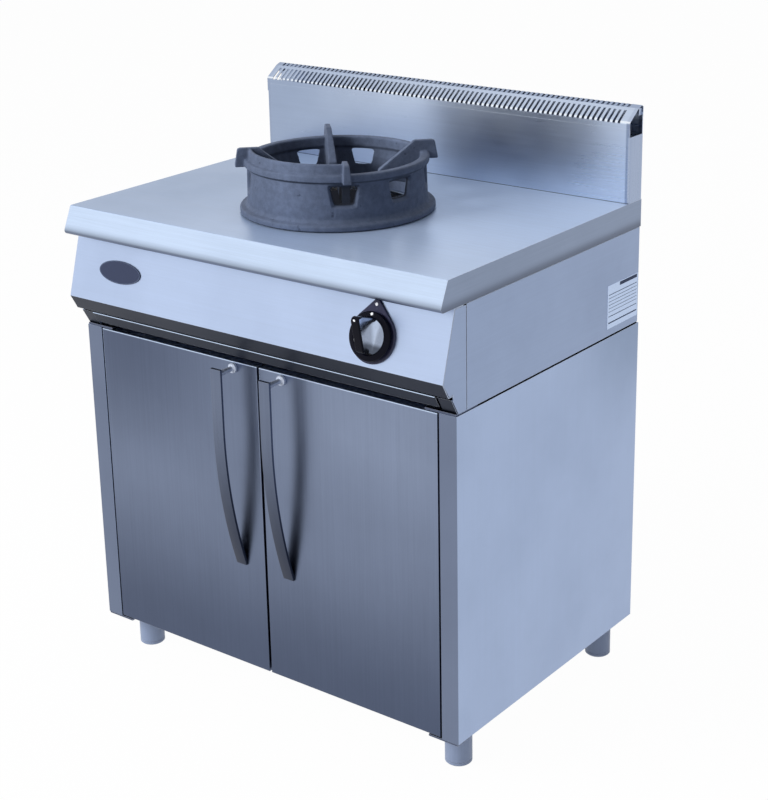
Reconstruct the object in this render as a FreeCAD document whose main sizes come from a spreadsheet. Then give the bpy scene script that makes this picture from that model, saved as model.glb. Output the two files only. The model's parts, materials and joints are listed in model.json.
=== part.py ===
"""Free-standing wok range: two-door cabinet, gas burner module, cast wok ring and flue upstand.

Millimetres, +Z up, the floor at z = 0, X centred and Y centred on the overall depth.
Each piece is drawn from the plane of the door fronts (y = 0 in its own sketches) and from the
level that carries it, which is the underside of the cabinet or the top of the cabinet.
"""
import FreeCAD
import Part
import Sketcher
import math
import os

DIMENSIONS = {
    "width": 800.0,             # over the side panels
    "depth": 552.0,             # cabinet, door fronts to rear
    "sheet": 1.5,               # stainless sheet
    "foot_height": 75.0,        # floor to the underside of the cabinet
    "cabinet_height": 568.0,
    "module_height": 222.0,     # top of the cabinet to the worktop
    "apron_height": 48.0,       # side and rear drop of the worktop
    "front_reach": 66.57,       # knob, before the door plane
    "rear_reach": 564.0,        # end of the gas inlet, behind the door plane
    "stile_width": 33.5,
    "door_gap": 3.0,            # door to stile
    "door_split": 5.0,          # between the two doors
    "door_depth": 18.0,
    "pivot_inset": 8.5,         # hinge axis from the outer edge of the door
    "pivot_depth": 6.0,         # hinge axis behind the door front
    "pin_radius": 3.0,
    "pin_clearance": 0.05,
    "bracket_thick": 3.5,
    "handle_offset": 52.8,      # bar centre from the middle of the range
    "handle_width": 22.0,
    "handle_thick": 5.5,
    "handle_bow": 46.0,         # how far the bar stands out
    "handle_curve": 885.0,      # radius of the bowed lower run
    "handle_straight": 98.0,    # straight upper run
    "handle_end": 3.5,          # thickness of its blunt lower end
    "post_drop": 12.0,          # post below the top of the door
    "foot_inset": 45.0,         # foot centre from the side
    "foot_front": 64.0,
    "foot_rear": 513.0,
    "foot_radius": 23.0,
    "stem_radius": 12.0,
    "nose_top": 19.8,           # slanted nose of the worktop: upper edge
    "nose_foot": 41.3,          # and lower edge, before rounding
    "nose_round": 6.5,
    "top_rear": 551.0,
    "hole_radius": 130.0,       # burner opening
    "ring_depth": 222.0,        # centre of the wok ring behind the door plane
    "ring_turn": -45.5,         # front fin of the wok ring, degrees from +X
    "ring_foot": 166.0,
    "ring_wall": 147.5,
    "ring_bore": 139.5,
    "ring_rim": 150.5,
    "rim_low": 80.0,
    "rim_high": 92.5,
    "fin_reach": 172.0,
    "fin_high": 110.5,
    "fin_thick": 12.5,
    "window_lag": -1.5,         # first window against the front fin, degrees
    "window_low": 44.0,
    "window_high": 70.0,
    "window_arc": 275.0,        # from the first window to the last, degrees
    "panel_tilt": 16.0,         # control panel, degrees from upright
    "panel_foot": 35.6,         # lower edge of the panel, before the door plane
    "panel_low": 62.2,          # its height above the cabinet
    "chin_low": 36.5,
    "chin_foot": 21.0,
    "knob_across": 261.0,       # knob axis from the middle
    "knob_along": 49.0,         # knob axis up the panel from its lower edge
    "bezel_radius": 43.0,
    "bezel_tip": 53.0,
    "bezel_tip_radius": 6.0,
    "bezel_thick": 4.0,
    "knob_radius": 39.0,
    "knob_back": 8.5,
    "spindle_radius": 4.0,
    "tap_depth": 52.0,          # gas way behind the panel face
    "badge_across": 288.0,
    "badge_along": 58.6,
    "badge_long": 48.5,
    "badge_short": 19.5,
    "cheek_depth": 26.6,
    "side_start": 28.2,
    "side_foot": 3.5,
    "tray_half": 362.0,
    "tray_low": 8.3,
    "tray_high": 26.0,
    "tray_length": 468.0,
    "tray_lip": 32.0,
    "tray_face": 370.0,
    "flue_front": 507.0,
    "flue_return": 114.0,       # closed height of the flue's sides
    "flue_face": 128.0,
    "flue_rear": 549.0,
    "bend_high": 139.5,
    "crest_high": 163.0,
    "slot_pitch": 10.0,
    "slot_width": 4.8,
    "slot_count": 77,
    "slot_shift": -2.5,         # middle of the rows from the middle of the range
    "pipe_radius": 8.0,
    "inlet_radius": 10.5,
    "inlet_across": 330.0,
}

doc = FreeCAD.newDocument("wok_range")
sheet = doc.addObject("Spreadsheet::Sheet", "Sizes")


class Size:
    """A length or angle, kept as its value and as the sheet formula that gives it."""

    def __init__(self, value, formula=None):
        self.value = float(value)
        self.formula = formula or repr(float(value))

    def __add__(self, other):
        other = as_size(other)
        return Size(self.value + other.value, f"({self.formula} + {other.formula})")

    def __sub__(self, other):
        other = as_size(other)
        return Size(self.value - other.value, f"({self.formula} - {other.formula})")

    def __mul__(self, other):
        other = as_size(other)
        return Size(self.value * other.value, f"({self.formula} * {other.formula})")

    def __truediv__(self, other):
        other = as_size(other)
        return Size(self.value / other.value, f"({self.formula} / {other.formula})")

    def __radd__(self, other):
        return as_size(other) + self

    def __rsub__(self, other):
        return as_size(other) - self

    def __rmul__(self, other):
        return as_size(other) * self

    def __neg__(self):
        return as_size(0) - self


def as_size(number):
    return number if isinstance(number, Size) else Size(number)


def root(size):
    return Size(math.sqrt(size.value), f"sqrt({size.formula})")


def sine(angle):
    return Size(math.sin(math.radians(angle.value)), f"sin({angle.formula})")


def cosine(angle):
    return Size(math.cos(math.radians(angle.value)), f"cos({angle.formula})")


class Dimensions:
    """The driving dimensions, one attribute for each aliased cell of the sheet."""

    def __init__(self, table):
        for row, (name, number) in enumerate(table.items(), start=1):
            sheet.set(f"A{row}", name)
            sheet.set(f"B{row}", str(number))
            sheet.setAlias(f"B{row}", name)
            setattr(self, name, Size(number, f"Sizes.{name}"))
        doc.recompute()


s = Dimensions(DIMENSIONS)

HALF = s.width / 2
DOOR_PLANE = (s.front_reach - s.rear_reach) / 2
CABINET = s.foot_height
MODULE = s.foot_height + s.cabinet_height
WORKTOP = s.module_height
APRON = s.module_height - s.apron_height
SIDES = {"left": -1, "right": 1}

# The knob's axis stands square on the tilted panel.
PANEL_SIN = sine(s.panel_tilt)
PANEL_COS = cosine(s.panel_tilt)
KNOB_Y = s.knob_along * PANEL_SIN - s.panel_foot
KNOB_Z = s.panel_low + s.knob_along * PANEL_COS
TAP_Y = KNOB_Y + s.tap_depth * PANEL_COS
TAP_Z = KNOB_Z - s.tap_depth * PANEL_SIN

nodes = []


# ---------------------------------------------------------------- drawing helpers

def bind(thing, path, size):
    thing.setExpression(path, as_size(size).formula)


def place(thing, level, across=0, behind=0, turn=None, axis=None):
    """Put an object on its level, measured from the middle and from the door plane."""
    if turn is not None:
        rotation = FreeCAD.Rotation(FreeCAD.Vector(*axis), as_size(turn).value)
        thing.Placement = FreeCAD.Placement(FreeCAD.Vector(), rotation)
        bind(thing, "Placement.Rotation.Angle", turn)
    bind(thing, "Placement.Base.x", across)
    bind(thing, "Placement.Base.y", DOOR_PLANE + behind)
    bind(thing, "Placement.Base.z", level)


def body(label, level, across=0, behind=0, turn=None, axis=None):
    new = doc.addObject("PartDesign::Body", label)
    new.Label = label
    place(new, level, across, behind, turn, axis)
    return new


def knob_body(label):
    """A body whose Z axis is the knob's axis, pointing out of the panel, and Y up the panel."""
    return body(label, MODULE + KNOB_Z, s.knob_across, KNOB_Y, 90 - s.panel_tilt, (1, 0, 0))


def origin_part(owner, role):
    return next(part for part in owner.Origin.OriginFeatures if part.Role == role)


def sketch_on(owner, plane, lift=0, turn=0):
    """A sketch on one of the body's own planes, lifted along its normal and turned."""
    new = owner.newObject("Sketcher::SketchObject", owner.Label + "_sketch")
    new.AttachmentSupport = (origin_part(owner, plane), [""])
    new.MapMode = "FlatFace"
    turned = FreeCAD.Rotation(FreeCAD.Vector(0, 1, 0), as_size(turn).value)
    new.AttachmentOffset = FreeCAD.Placement(FreeCAD.Vector(), turned)
    bind(new, "AttachmentOffset.Base.z", lift)
    if turn:
        bind(new, "AttachmentOffset.Rotation.Angle", turn)
    return new


def dimension(sketch, kind, *where):
    """A dimension in a sketch, bound to the sheet when its size is."""
    size = as_size(where[-1])
    index = sketch.addConstraint(Sketcher.Constraint(kind, *where[:-1], size.value))
    bind(sketch, f"Constraints[{index}]", size)


def arc_between(start, end, radius):
    """The short arc from start to end; a negative radius bends it to the right."""
    chord = end - start
    middle = (start + end) / 2
    rise = math.sqrt(max(radius * radius - chord.Length ** 2 / 4, 0.0))
    left = FreeCAD.Vector(-chord.y, chord.x, 0).normalize()
    centre = middle + left * (rise if radius > 0 else -rise)
    first, last = (start, end) if radius > 0 else (end, start)
    angles = [math.atan2(point.y - centre.y, point.x - centre.x) for point in (first, last)]
    circle = Part.Circle(centre, FreeCAD.Vector(0, 0, 1), abs(radius))
    return Part.ArcOfCircle(circle, *angles)


def add_outline(sketch, corners, closed=True):
    """Lines through the corners; a third number on a corner makes the run to it an arc."""
    count = len(corners)
    runs = count if closed else count - 1
    points = [FreeCAD.Vector(as_size(c[0]).value, as_size(c[1]).value, 0) for c in corners]
    ends = []
    for run in range(runs):
        start, end = points[run], points[(run + 1) % count]
        target = corners[(run + 1) % count]
        if len(target) == 3:
            radius = as_size(target[2])
            index = sketch.addGeometry(arc_between(start, end, radius.value))
            ends.append((index, 1, 2) if radius.value > 0 else (index, 2, 1))
            bound = radius if radius.value > 0 else -radius
            dimension(sketch, "Radius", index, bound)
        else:
            ends.append((sketch.addGeometry(Part.LineSegment(start, end)), 1, 2))
    for run in range(runs if closed else runs - 1):
        this, following = ends[run], ends[(run + 1) % runs]
        joint = Sketcher.Constraint("Coincident", this[0], this[2], following[0], following[1])
        sketch.addConstraint(joint)
    for run, corner in enumerate(corners[:runs]):
        dimension(sketch, "DistanceX", -1, 1, ends[run][0], ends[run][1], corner[0])
        dimension(sketch, "DistanceY", -1, 1, ends[run][0], ends[run][1], corner[1])
    if not closed:
        dimension(sketch, "DistanceX", -1, 1, ends[-1][0], ends[-1][2], corners[-1][0])
        dimension(sketch, "DistanceY", -1, 1, ends[-1][0], ends[-1][2], corners[-1][1])


def add_rectangle(sketch, left, low, right, high):
    add_outline(sketch, [(left, low), (right, low), (right, high), (left, high)])


def add_circle(sketch, across, up, radius):
    centre = FreeCAD.Vector(as_size(across).value, as_size(up).value, 0)
    circle = Part.Circle(centre, FreeCAD.Vector(0, 0, 1), as_size(radius).value)
    index = sketch.addGeometry(circle)
    dimension(sketch, "DistanceX", -1, 1, index, 3, across)
    dimension(sketch, "DistanceY", -1, 1, index, 3, up)
    dimension(sketch, "Radius", index, radius)


def offset_path(points, thickness):
    """The same path moved to its left by the thickness, as starting points for the solver."""
    moved = []
    for place_in_path, point in enumerate(points):
        lines = []
        for first in (place_in_path - 1, place_in_path):
            if 0 <= first < len(points) - 1:
                along = (points[first + 1] - points[first]).normalize()
                lines.append(FreeCAD.Vector(-along.y, along.x, 0))
        mean = lines[0] + lines[-1]
        mean = mean * (2.0 / mean.Length ** 2)
        moved.append(point + mean * thickness)
    return moved


def add_fold(sketch, path, thickness):
    """Folded sheet: the dimensioned path is one face, the wall lies to its left."""
    outer = [FreeCAD.Vector(as_size(c[0]).value, as_size(c[1]).value, 0) for c in path]
    inner = offset_path(outer, as_size(thickness).value)
    count = len(path)
    loop = outer + inner[::-1]
    for run, start in enumerate(loop):
        sketch.addGeometry(Part.LineSegment(start, loop[(run + 1) % len(loop)]))
    for run in range(len(loop)):
        following = (run + 1) % len(loop)
        sketch.addConstraint(Sketcher.Constraint("Coincident", run, 2, following, 1))
    for corner, (across, up) in enumerate(path):
        dimension(sketch, "DistanceX", -1, 1, corner, 1, across)
        dimension(sketch, "DistanceY", -1, 1, corner, 1, up)
    bound = thickness if as_size(thickness).value > 0 else -as_size(thickness)
    for corner in range(count):
        inner_run = 2 * count - 1 - corner
        if corner > 0:
            dimension(sketch, "Distance", inner_run, 1, corner - 1, bound)
        if corner < count - 1:
            dimension(sketch, "Distance", inner_run, 1, corner, bound)
    sketch.addConstraint(Sketcher.Constraint("Perpendicular", count - 1, count - 2))
    sketch.addConstraint(Sketcher.Constraint("Perpendicular", 2 * count - 1, 0))


def feature(owner, kind, sketch, change):
    """A feature on a sketch, and a test that it adds (+1) or removes (-1) material."""
    before = owner.Shape.Volume if owner.Tip else 0.0
    new = owner.newObject("PartDesign::" + kind, owner.Label + "_" + kind.lower())
    if sketch is not None:
        new.Profile = sketch
        sketch.Visibility = False
    return new, before, change


def settle(owner, made):
    new, before, change = made
    doc.recompute()
    if (owner.Shape.Volume - before) * change <= 0.0:
        raise RuntimeError(f"{new.Label} left the volume as it was")
    return new


def pad(owner, sketch, length, both=False, flip=False):
    made = feature(owner, "Pad", sketch, 1)
    bind(made[0], "Length", length)
    made[0].SideType = "Symmetric" if both else "One side"
    made[0].Reversed = flip
    return settle(owner, made)


def pocket(owner, sketch, length, both=False, flip=False):
    made = feature(owner, "Pocket", sketch, -1)
    bind(made[0], "Length", length)
    made[0].SideType = "Symmetric" if both else "One side"
    made[0].Reversed = flip
    return settle(owner, made)


def revolve(owner, sketch, axis="Z_Axis", angle=360.0, flip=False):
    made = feature(owner, "Revolution", sketch, 1)
    made[0].ReferenceAxis = (origin_part(owner, axis), [""])
    made[0].Angle = angle
    made[0].Reversed = flip
    return settle(owner, made)


def pattern(owner, kind, originals, change):
    made = feature(owner, kind, None, change)
    made[0].Originals = originals
    return made


def polar(owner, originals, count, angle, change):
    made = pattern(owner, "PolarPattern", originals, change)
    made[0].Axis = (origin_part(owner, "Z_Axis"), [""])
    made[0].Angle = angle
    made[0].Occurrences = count
    owner.Tip = made[0]
    return settle(owner, made)


def row_of(owner, originals, count, pitch, change):
    made = pattern(owner, "LinearPattern", originals, change)
    made[0].Direction = (origin_part(owner, "X_Axis"), [""])
    bind(made[0], "Length", pitch * (count - 1))
    made[0].Occurrences = count
    owner.Tip = made[0]
    return settle(owner, made)


def round_edges(owner, radius, *points):
    """Fillet the edges that pass through the given points of the body's own frame."""
    base = owner.Tip
    names = []
    for point in points:
        spot = Part.Vertex(*(as_size(number).value for number in point))
        for index, edge in enumerate(base.Shape.Edges, start=1):
            if spot.distToShape(edge)[0] < 0.05:
                names.append(f"Edge{index}")
    if not names:
        raise RuntimeError(f"no edge to round on {owner.Label}")
    fillet = owner.newObject("PartDesign::Fillet", owner.Label + "_fillet")
    fillet.Base = (base, sorted(set(names)))
    bind(fillet, "Radius", radius)
    doc.recompute()
    return fillet


def keep(thing, label=None):
    """Register a finished sub-part under its node name."""
    if label:
        thing.Label = label
    nodes.append(thing)
    return thing


def group(label, members):
    new = doc.addObject("Part::Compound", label)
    new.Links = members
    return keep(new, label)


def box(label, level, corner, size):
    new = doc.addObject("Part::Box", label)
    new.Label = label
    for name, length in zip(("Length", "Width", "Height"), size):
        bind(new, name, length)
    place(new, level + corner[2], corner[0], corner[1])
    return new


def cut(label, base, tool):
    new = doc.addObject("Part::Cut", label)
    new.Base = base
    new.Tool = tool
    return keep(new, label)


def extrusion(label, level, plane, path, start, length, wall=None):
    """A folded strip: the path's profile carried along the third direction from start."""
    new = body(label, level)
    sketch = sketch_on(new, plane, start)
    add_fold(sketch, path, wall if wall is not None else s.sheet)
    pad(new, sketch, length)
    return new


def turned(label, profile, level, across=0, behind=0, axis="Z_Axis", plane="XZ_Plane"):
    """A turned piece: its half section revolved about the body's own axis."""
    new = body(label, level, across, behind)
    sketch = sketch_on(new, plane)
    add_outline(sketch, profile)
    revolve(new, sketch, axis)
    return new


# ---------------------------------------------------------------- cabinet

def cabinet_side(side, sign):
    """Side sheet folded round the front into the stile, with a rear flange."""
    new = body(f"cabinet_{side}_side", CABINET)
    sketch = sketch_on(new, "XY_Plane")
    stile = HALF - s.stile_width
    path = [(HALF - 22, s.depth), (HALF, s.depth), (HALF, 0), (stile, 0), (stile, 22)]
    add_fold(sketch, [(across * sign, behind) for across, behind in path], s.sheet * -sign)
    pad(new, sketch, s.cabinet_height)
    middle = s.cabinet_height / 2
    round_edges(new, 1.4, (HALF * sign, 0, middle), (stile * sign, 0, middle))
    keep(new)


def cabinet_floor():
    """Base panel: a shallow pan with hat-shaped front and rear folds that carry the feet."""
    path = [(100, 0), (24, 0), (24, 18), (549, 18), (549, 0), (480, 0)]
    inside = s.width - 2 * s.sheet
    keep(extrusion("cabinet_floor", CABINET, "YZ_Plane", path, -inside / 2, inside, -s.sheet))


def cabinet_back():
    high = s.cabinet_height + s.side_foot
    path = [(535, high), (550.5, high), (550.5, 0)]
    across = s.width - 6
    keep(extrusion("cabinet_back", CABINET, "YZ_Plane", path, -across / 2, across, -s.sheet))


def cabinet_top_rail():
    """Channel across the front, behind the tops of the doors."""
    top = s.cabinet_height - 2
    path = [(52, top - 36), (24, top - 36), (24, top), (52, top)]
    inside = s.width - 2 * s.sheet
    keep(extrusion("cabinet_top_rail", CABINET, "YZ_Plane", path, -inside / 2, inside, -s.sheet))


def pivot_across(sign):
    return (HALF - s.stile_width - s.door_gap - s.pivot_inset) * sign


def hinge_brackets():
    """Pivot plates over and under each door, each with the bore of a hinge pin."""
    plates = []
    ends = {"top": (s.cabinet_height, 60), "bottom": (-s.bracket_thick, 36)}
    for side, sign in SIDES.items():
        for end, (low, reach) in ends.items():
            plate = body(f"hinge_bracket_{side}_{end}", CABINET)
            sketch = sketch_on(plate, "XY_Plane", low)
            inner, outer = 340 * sign, (HALF - 2) * sign
            add_rectangle(sketch, inner, 1, outer, reach)
            radius = s.pin_radius + s.pin_clearance
            add_circle(sketch, pivot_across(sign), s.pivot_depth, radius)
            pad(plate, sketch, s.bracket_thick)
            plates.append(plate)
    group("hinge_brackets", plates)


def magnetic_catches():
    low = s.cabinet_height - 2 - 36 - 14
    blocks = [box(f"catch_{side}", CABINET, (40 * sign - 17, 18.4, low), (34, 24, 14))
              for side, sign in SIDES.items()]
    group("magnetic_catches", blocks)


def foot_places():
    spots = {}
    for side, sign in SIDES.items():
        spots[f"front_{side}"] = ((HALF - s.foot_inset) * sign, s.foot_front)
        spots[f"rear_{side}"] = ((HALF - s.foot_inset) * sign, s.foot_rear)
    return spots


def foot_sockets():
    """Square foot plates under the cabinet, each with the round sleeve of a levelling foot."""
    sockets = []
    plate = 3.0
    sleeve_low = 7.0
    for name, (across, behind) in foot_places().items():
        socket = body(f"foot_socket_{name}", CABINET, across, behind)
        square = sketch_on(socket, "XY_Plane", -plate)
        add_rectangle(square, -24, -24, 24, 24)
        pad(socket, square, plate)
        ring = sketch_on(socket, "XY_Plane", sleeve_low - s.foot_height)
        add_circle(ring, 0, 0, s.foot_radius)
        add_circle(ring, 0, 0, s.stem_radius + s.pin_clearance)
        pad(socket, ring, s.foot_height - sleeve_low - plate)
        sockets.append(socket)
    group("foot_sockets", sockets)


def levelling_feet():
    radius, stem = s.foot_radius, s.stem_radius
    profile = [(0, 0), (radius - 2, 0), (radius, 2), (radius, 6.7), (stem, 6.7), (stem, 58),
               (0, 58)]
    for name, (across, behind) in foot_places().items():
        keep(turned(f"levelling_foot_{name}", profile, 0, across, behind))


# ---------------------------------------------------------------- doors

def door_edges(sign):
    """Inner and outer edge of a door, and its lower and upper edge in the cabinet frame."""
    inner = s.door_split / 2
    outer = HALF - s.stile_width - s.door_gap
    return inner * sign, outer * sign, as_size(2), s.cabinet_height - 1


def door_pan(side, sign):
    inner, outer, low, high = door_edges(sign)
    new = body(f"{side}_door_pan", CABINET)
    face = sketch_on(new, "XZ_Plane")
    add_rectangle(face, inner, low, outer, high)
    pad(new, face, s.door_depth, flip=True)
    hollow = sketch_on(new, "XZ_Plane", -s.sheet)
    wall = s.sheet * sign
    add_rectangle(hollow, inner + wall, low + s.sheet, outer - wall, high - s.sheet)
    pocket(new, hollow, s.door_depth)
    bore = sketch_on(new, "XY_Plane")
    add_circle(bore, pivot_across(sign), s.pivot_depth, s.pin_radius + s.pin_clearance)
    pocket(new, bore, s.cabinet_height, flip=True)
    middle = (inner + outer) / 2
    round_edges(new, 1.3, (middle, 0, low), (middle, 0, high), (inner, 0, 300), (outer, 0, 300))
    keep(new)


def door_liner(side, sign):
    """Inner sheet of the door, with a pressed field."""
    inner, outer, low, high = door_edges(sign)
    wall = s.sheet * sign
    edges = (inner + wall, low + s.sheet, outer - wall, high - s.sheet)
    new = body(f"{side}_door_liner", CABINET)
    rim = sketch_on(new, "XZ_Plane", s.sheet - s.door_depth)
    add_rectangle(rim, *edges)
    pad(new, rim, s.sheet, flip=True)
    margin = 34
    field = sketch_on(new, "XZ_Plane", s.sheet - s.door_depth)
    add_rectangle(field, edges[0] + margin * sign, edges[1] + margin, edges[2] - margin * sign,
                  edges[3] - margin)
    pad(new, field, 5)
    inset = margin + 1.5
    press = sketch_on(new, "XZ_Plane", -s.door_depth)
    add_rectangle(press, edges[0] + inset * sign, edges[1] + inset, edges[2] - inset * sign,
                  edges[3] - inset)
    pocket(new, press, 5, flip=True)
    keep(new)


def handle_bar(side, sign):
    """Flat bar: straight at the top, then bowed back to a blunt end on the door."""
    top = s.cabinet_height - 2
    knee = top - s.handle_straight
    lean = s.handle_curve - s.handle_bow
    inner_curve = s.handle_curve - s.handle_thick
    end_lean = lean + s.handle_end
    front_end = knee - root(s.handle_curve * s.handle_curve - end_lean * end_lean)
    back_end = knee - root(inner_curve * inner_curve - lean * lean)
    back = s.handle_thick - s.handle_bow
    new = body(f"{side}_handle_bar", CABINET)
    sketch = sketch_on(new, "YZ_Plane", s.handle_offset * sign - s.handle_width / 2)
    add_outline(sketch, [(back, top), (-s.handle_bow, top), (-s.handle_bow, knee),
                         (-s.handle_end, front_end, s.handle_curve), (0, front_end),
                         (0, back_end), (back, knee, -inner_curve)])
    pad(new, sketch, s.handle_width)
    keep(new)


def handle_post(side, sign):
    """Round post with a thick ferrule, from the door to the back of the bar."""
    reach = s.handle_thick - s.handle_bow
    profile = [(0, 0), (8, 0), (8.8, -0.8), (8.8, -5), (7.5, -6.6), (4.6, -8), (4.4, -16),
               (5.5, reach), (0, reach)]
    keep(turned(f"{side}_handle_post", profile, MODULE - s.post_drop, s.handle_offset * sign,
                axis="Y_Axis", plane="XY_Plane"))


def door_pins(side, sign):
    """Two headed pins on the hinge axis, through the edges of the door into the brackets."""
    radius = s.pin_radius
    high = s.cabinet_height - 1 - s.sheet
    low = 2 + s.sheet
    head = 4.2
    upper = [(0, high - 3), (head, high - 3), (head, high), (radius, high),
             (radius, s.cabinet_height + s.bracket_thick), (0, s.cabinet_height + s.bracket_thick)]
    lower = [(0, -s.bracket_thick), (radius, -s.bracket_thick), (radius, low), (head, low),
             (head, low + 3), (0, low + 3)]
    spot = (CABINET, pivot_across(sign), s.pivot_depth)
    pins = [turned(f"{side}_pin_{end}", profile, *spot)
            for end, profile in {"upper": upper, "lower": lower}.items()]
    group(f"{side}_door_pins", pins)


def doors():
    for side, sign in SIDES.items():
        door_pan(side, sign)
        door_liner(side, sign)
        handle_bar(side, sign)
        handle_post(side, sign)
        door_pins(side, sign)


# ---------------------------------------------------------------- burner module casing

def worktop():
    """Pressed top: slanted and rounded nose, aprons all round, drawn lip at the burner hole."""
    new = body("worktop", MODULE)
    blank = sketch_on(new, "YZ_Plane")
    add_outline(blank, [(s.top_rear, APRON), (s.top_rear, WORKTOP), (-s.nose_top, WORKTOP),
                        (-s.nose_foot, APRON)])
    pad(new, blank, s.width, both=True)
    under = sketch_on(new, "YZ_Plane")
    wall = s.sheet
    lip_end = 8
    slope = (s.nose_foot - s.nose_top) / (WORKTOP - APRON)
    stretch = root(slope * slope + 1)
    inner_foot = wall * (stretch + slope) - s.nose_foot
    add_outline(under, [(s.top_rear - wall, APRON - 1), (s.top_rear - wall, WORKTOP - wall),
                        (wall * (stretch - slope) - s.nose_top, WORKTOP - wall),
                        (inner_foot, APRON + wall), (lip_end, APRON + wall), (lip_end, APRON - 1)])
    pocket(new, under, s.width - 2 * wall, both=True)
    round_edges(new, s.nose_round, (0, -s.nose_foot, APRON))
    round_edges(new, s.nose_round - wall, (0, inner_foot, APRON + wall))
    round_edges(new, 2.5, (0, -s.nose_top, WORKTOP))
    openings = sketch_on(new, "XY_Plane", WORKTOP)
    add_circle(openings, 0, s.ring_depth, s.hole_radius)
    add_rectangle(openings, -350, s.flue_front + 8, 350, s.flue_rear - 8)
    pocket(new, openings, s.sheet + 1)
    lip = sketch_on(new, "XY_Plane", WORKTOP)
    add_circle(lip, 0, s.ring_depth, s.hole_radius)
    add_circle(lip, 0, s.ring_depth, s.hole_radius + 2)
    pad(new, lip, 4)
    keep(new)


def panel_point(along, out=0):
    """Y and Z of a point up the panel from its lower edge and out of its face."""
    behind = along * PANEL_SIN - out * PANEL_COS - s.panel_foot
    up = s.panel_low + along * PANEL_COS + out * PANEL_SIN
    return behind, up


def control_panel():
    """Tilted fascia with its dark lower fold, and the bore of the knob's spindle."""
    top_z = APRON
    along = (top_z - s.panel_low) / PANEL_COS
    top_y = along * PANEL_SIN - s.panel_foot
    path = [(20, top_z), (top_y, top_z), (-s.panel_foot, s.panel_low),
            (-s.chin_foot, s.chin_low), (-8, s.chin_low)]
    blank = extrusion("control_panel_blank", MODULE, "YZ_Plane", path, -HALF, s.width)
    drill = doc.addObject("Part::Cylinder", "spindle_bore")
    bind(drill, "Radius", s.spindle_radius + 5)
    bind(drill, "Height", 12)
    behind, up = panel_point(s.knob_along, -6)
    place(drill, MODULE + up, s.knob_across, behind, 90 - s.panel_tilt, (1, 0, 0))
    cut("control_panel", blank, drill)


def cheeks():
    """End plates of the fascia, with the notch at the tray slot."""
    inset = 2.0
    top_z = APRON - 0.5
    run = (top_z - s.panel_low) * PANEL_SIN / PANEL_COS
    for side, sign in SIDES.items():
        new = body(f"{side}_cheek", MODULE)
        start = -HALF if sign < 0 else HALF - s.sheet
        sketch = sketch_on(new, "YZ_Plane", start)
        add_outline(sketch, [
            (s.cheek_depth, s.side_foot), (s.cheek_depth, top_z - s.sheet),
            (run - s.panel_foot + inset, top_z - s.sheet), (inset - s.panel_foot, s.panel_low),
            (-s.chin_foot + inset, s.chin_low + s.sheet + 0.6), (-8, s.chin_low + s.sheet + 0.6),
            (-8, 30.5), (-9.5, 29.5), (5.5, s.side_foot)])
        pad(new, sketch, s.sheet)
        keep(new)


def front_corners():
    """Folded blocks that close the ends of the chin over the stiles."""
    long = 26
    for side, sign in SIDES.items():
        start = -HALF + s.sheet if sign < 0 else HALF - s.sheet - long
        path = [(-2, 30.5), (-11.5, 30.5), (4, s.side_foot), (24, s.side_foot)]
        new = extrusion(f"{side}_front_corner", MODULE, "YZ_Plane", path, start, long)
        keep(new)


def module_side(side, sign):
    new = body(f"module_{side}_side", MODULE)
    sketch = sketch_on(new, "XZ_Plane", -547.5)
    top = APRON - 0.5
    path = [(HALF - 15, s.side_foot), (HALF, s.side_foot), (HALF, top), (HALF - 15, top)]
    add_fold(sketch, [(across * sign, up) for across, up in path], s.sheet * sign)
    pad(new, sketch, 547.5 - s.side_start)
    keep(new)


def module_back():
    new = body("module_back", MODULE)
    face = sketch_on(new, "XZ_Plane", -549)
    add_rectangle(face, -HALF + s.sheet, 5, HALF - s.sheet, WORKTOP - s.sheet)
    add_circle(face, s.inlet_across, TAP_Z, s.inlet_radius + 2.5)
    pad(new, face, s.sheet)
    keep(new)


def module_base():
    path = [(30, 8), (30, 5), (547.5, 5)]
    inside = s.width - 2 * s.sheet
    keep(extrusion("module_base", MODULE, "YZ_Plane", path, -inside / 2, inside))


def tray_runners():
    rails = []
    for side, sign in SIDES.items():
        rail = body(f"tray_runner_{side}", MODULE)
        sketch = sketch_on(rail, "XZ_Plane", -500)
        path = [(346, 6.5), (366, 6.5), (366, 24)]
        add_fold(sketch, [(across * sign, up) for across, up in path], s.sheet * sign)
        pad(rail, sketch, 460)
        rails.append(rail)
    group("tray_runners", rails)


def spill_tray():
    """Shallow tray on runners; its sloped front closes the slot under the fascia."""
    new = body("spill_tray", MODULE)
    front = 2
    outside = sketch_on(new, "XY_Plane", s.tray_low)
    add_rectangle(outside, -s.tray_half, front, s.tray_half, front + s.tray_length)
    pad(new, outside, s.tray_high - s.tray_low)
    hollow = sketch_on(new, "XY_Plane", s.tray_high)
    half = s.tray_half - 1
    add_rectangle(hollow, -half, front + 1, half, front + s.tray_length - 1)
    pocket(new, hollow, s.tray_high - s.tray_low - 1)
    face = sketch_on(new, "YZ_Plane")
    path = [(-7, s.tray_lip), (-14.5, s.tray_lip), (-2.5, s.tray_low + 3),
            (front + 0.5, s.tray_low + 3)]
    add_fold(face, path, s.sheet)
    pad(new, face, 2 * s.tray_face, both=True)
    round_edges(new, 1, (0, -14.5, s.tray_lip))
    keep(new)


# ---------------------------------------------------------------- flue upstand

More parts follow.
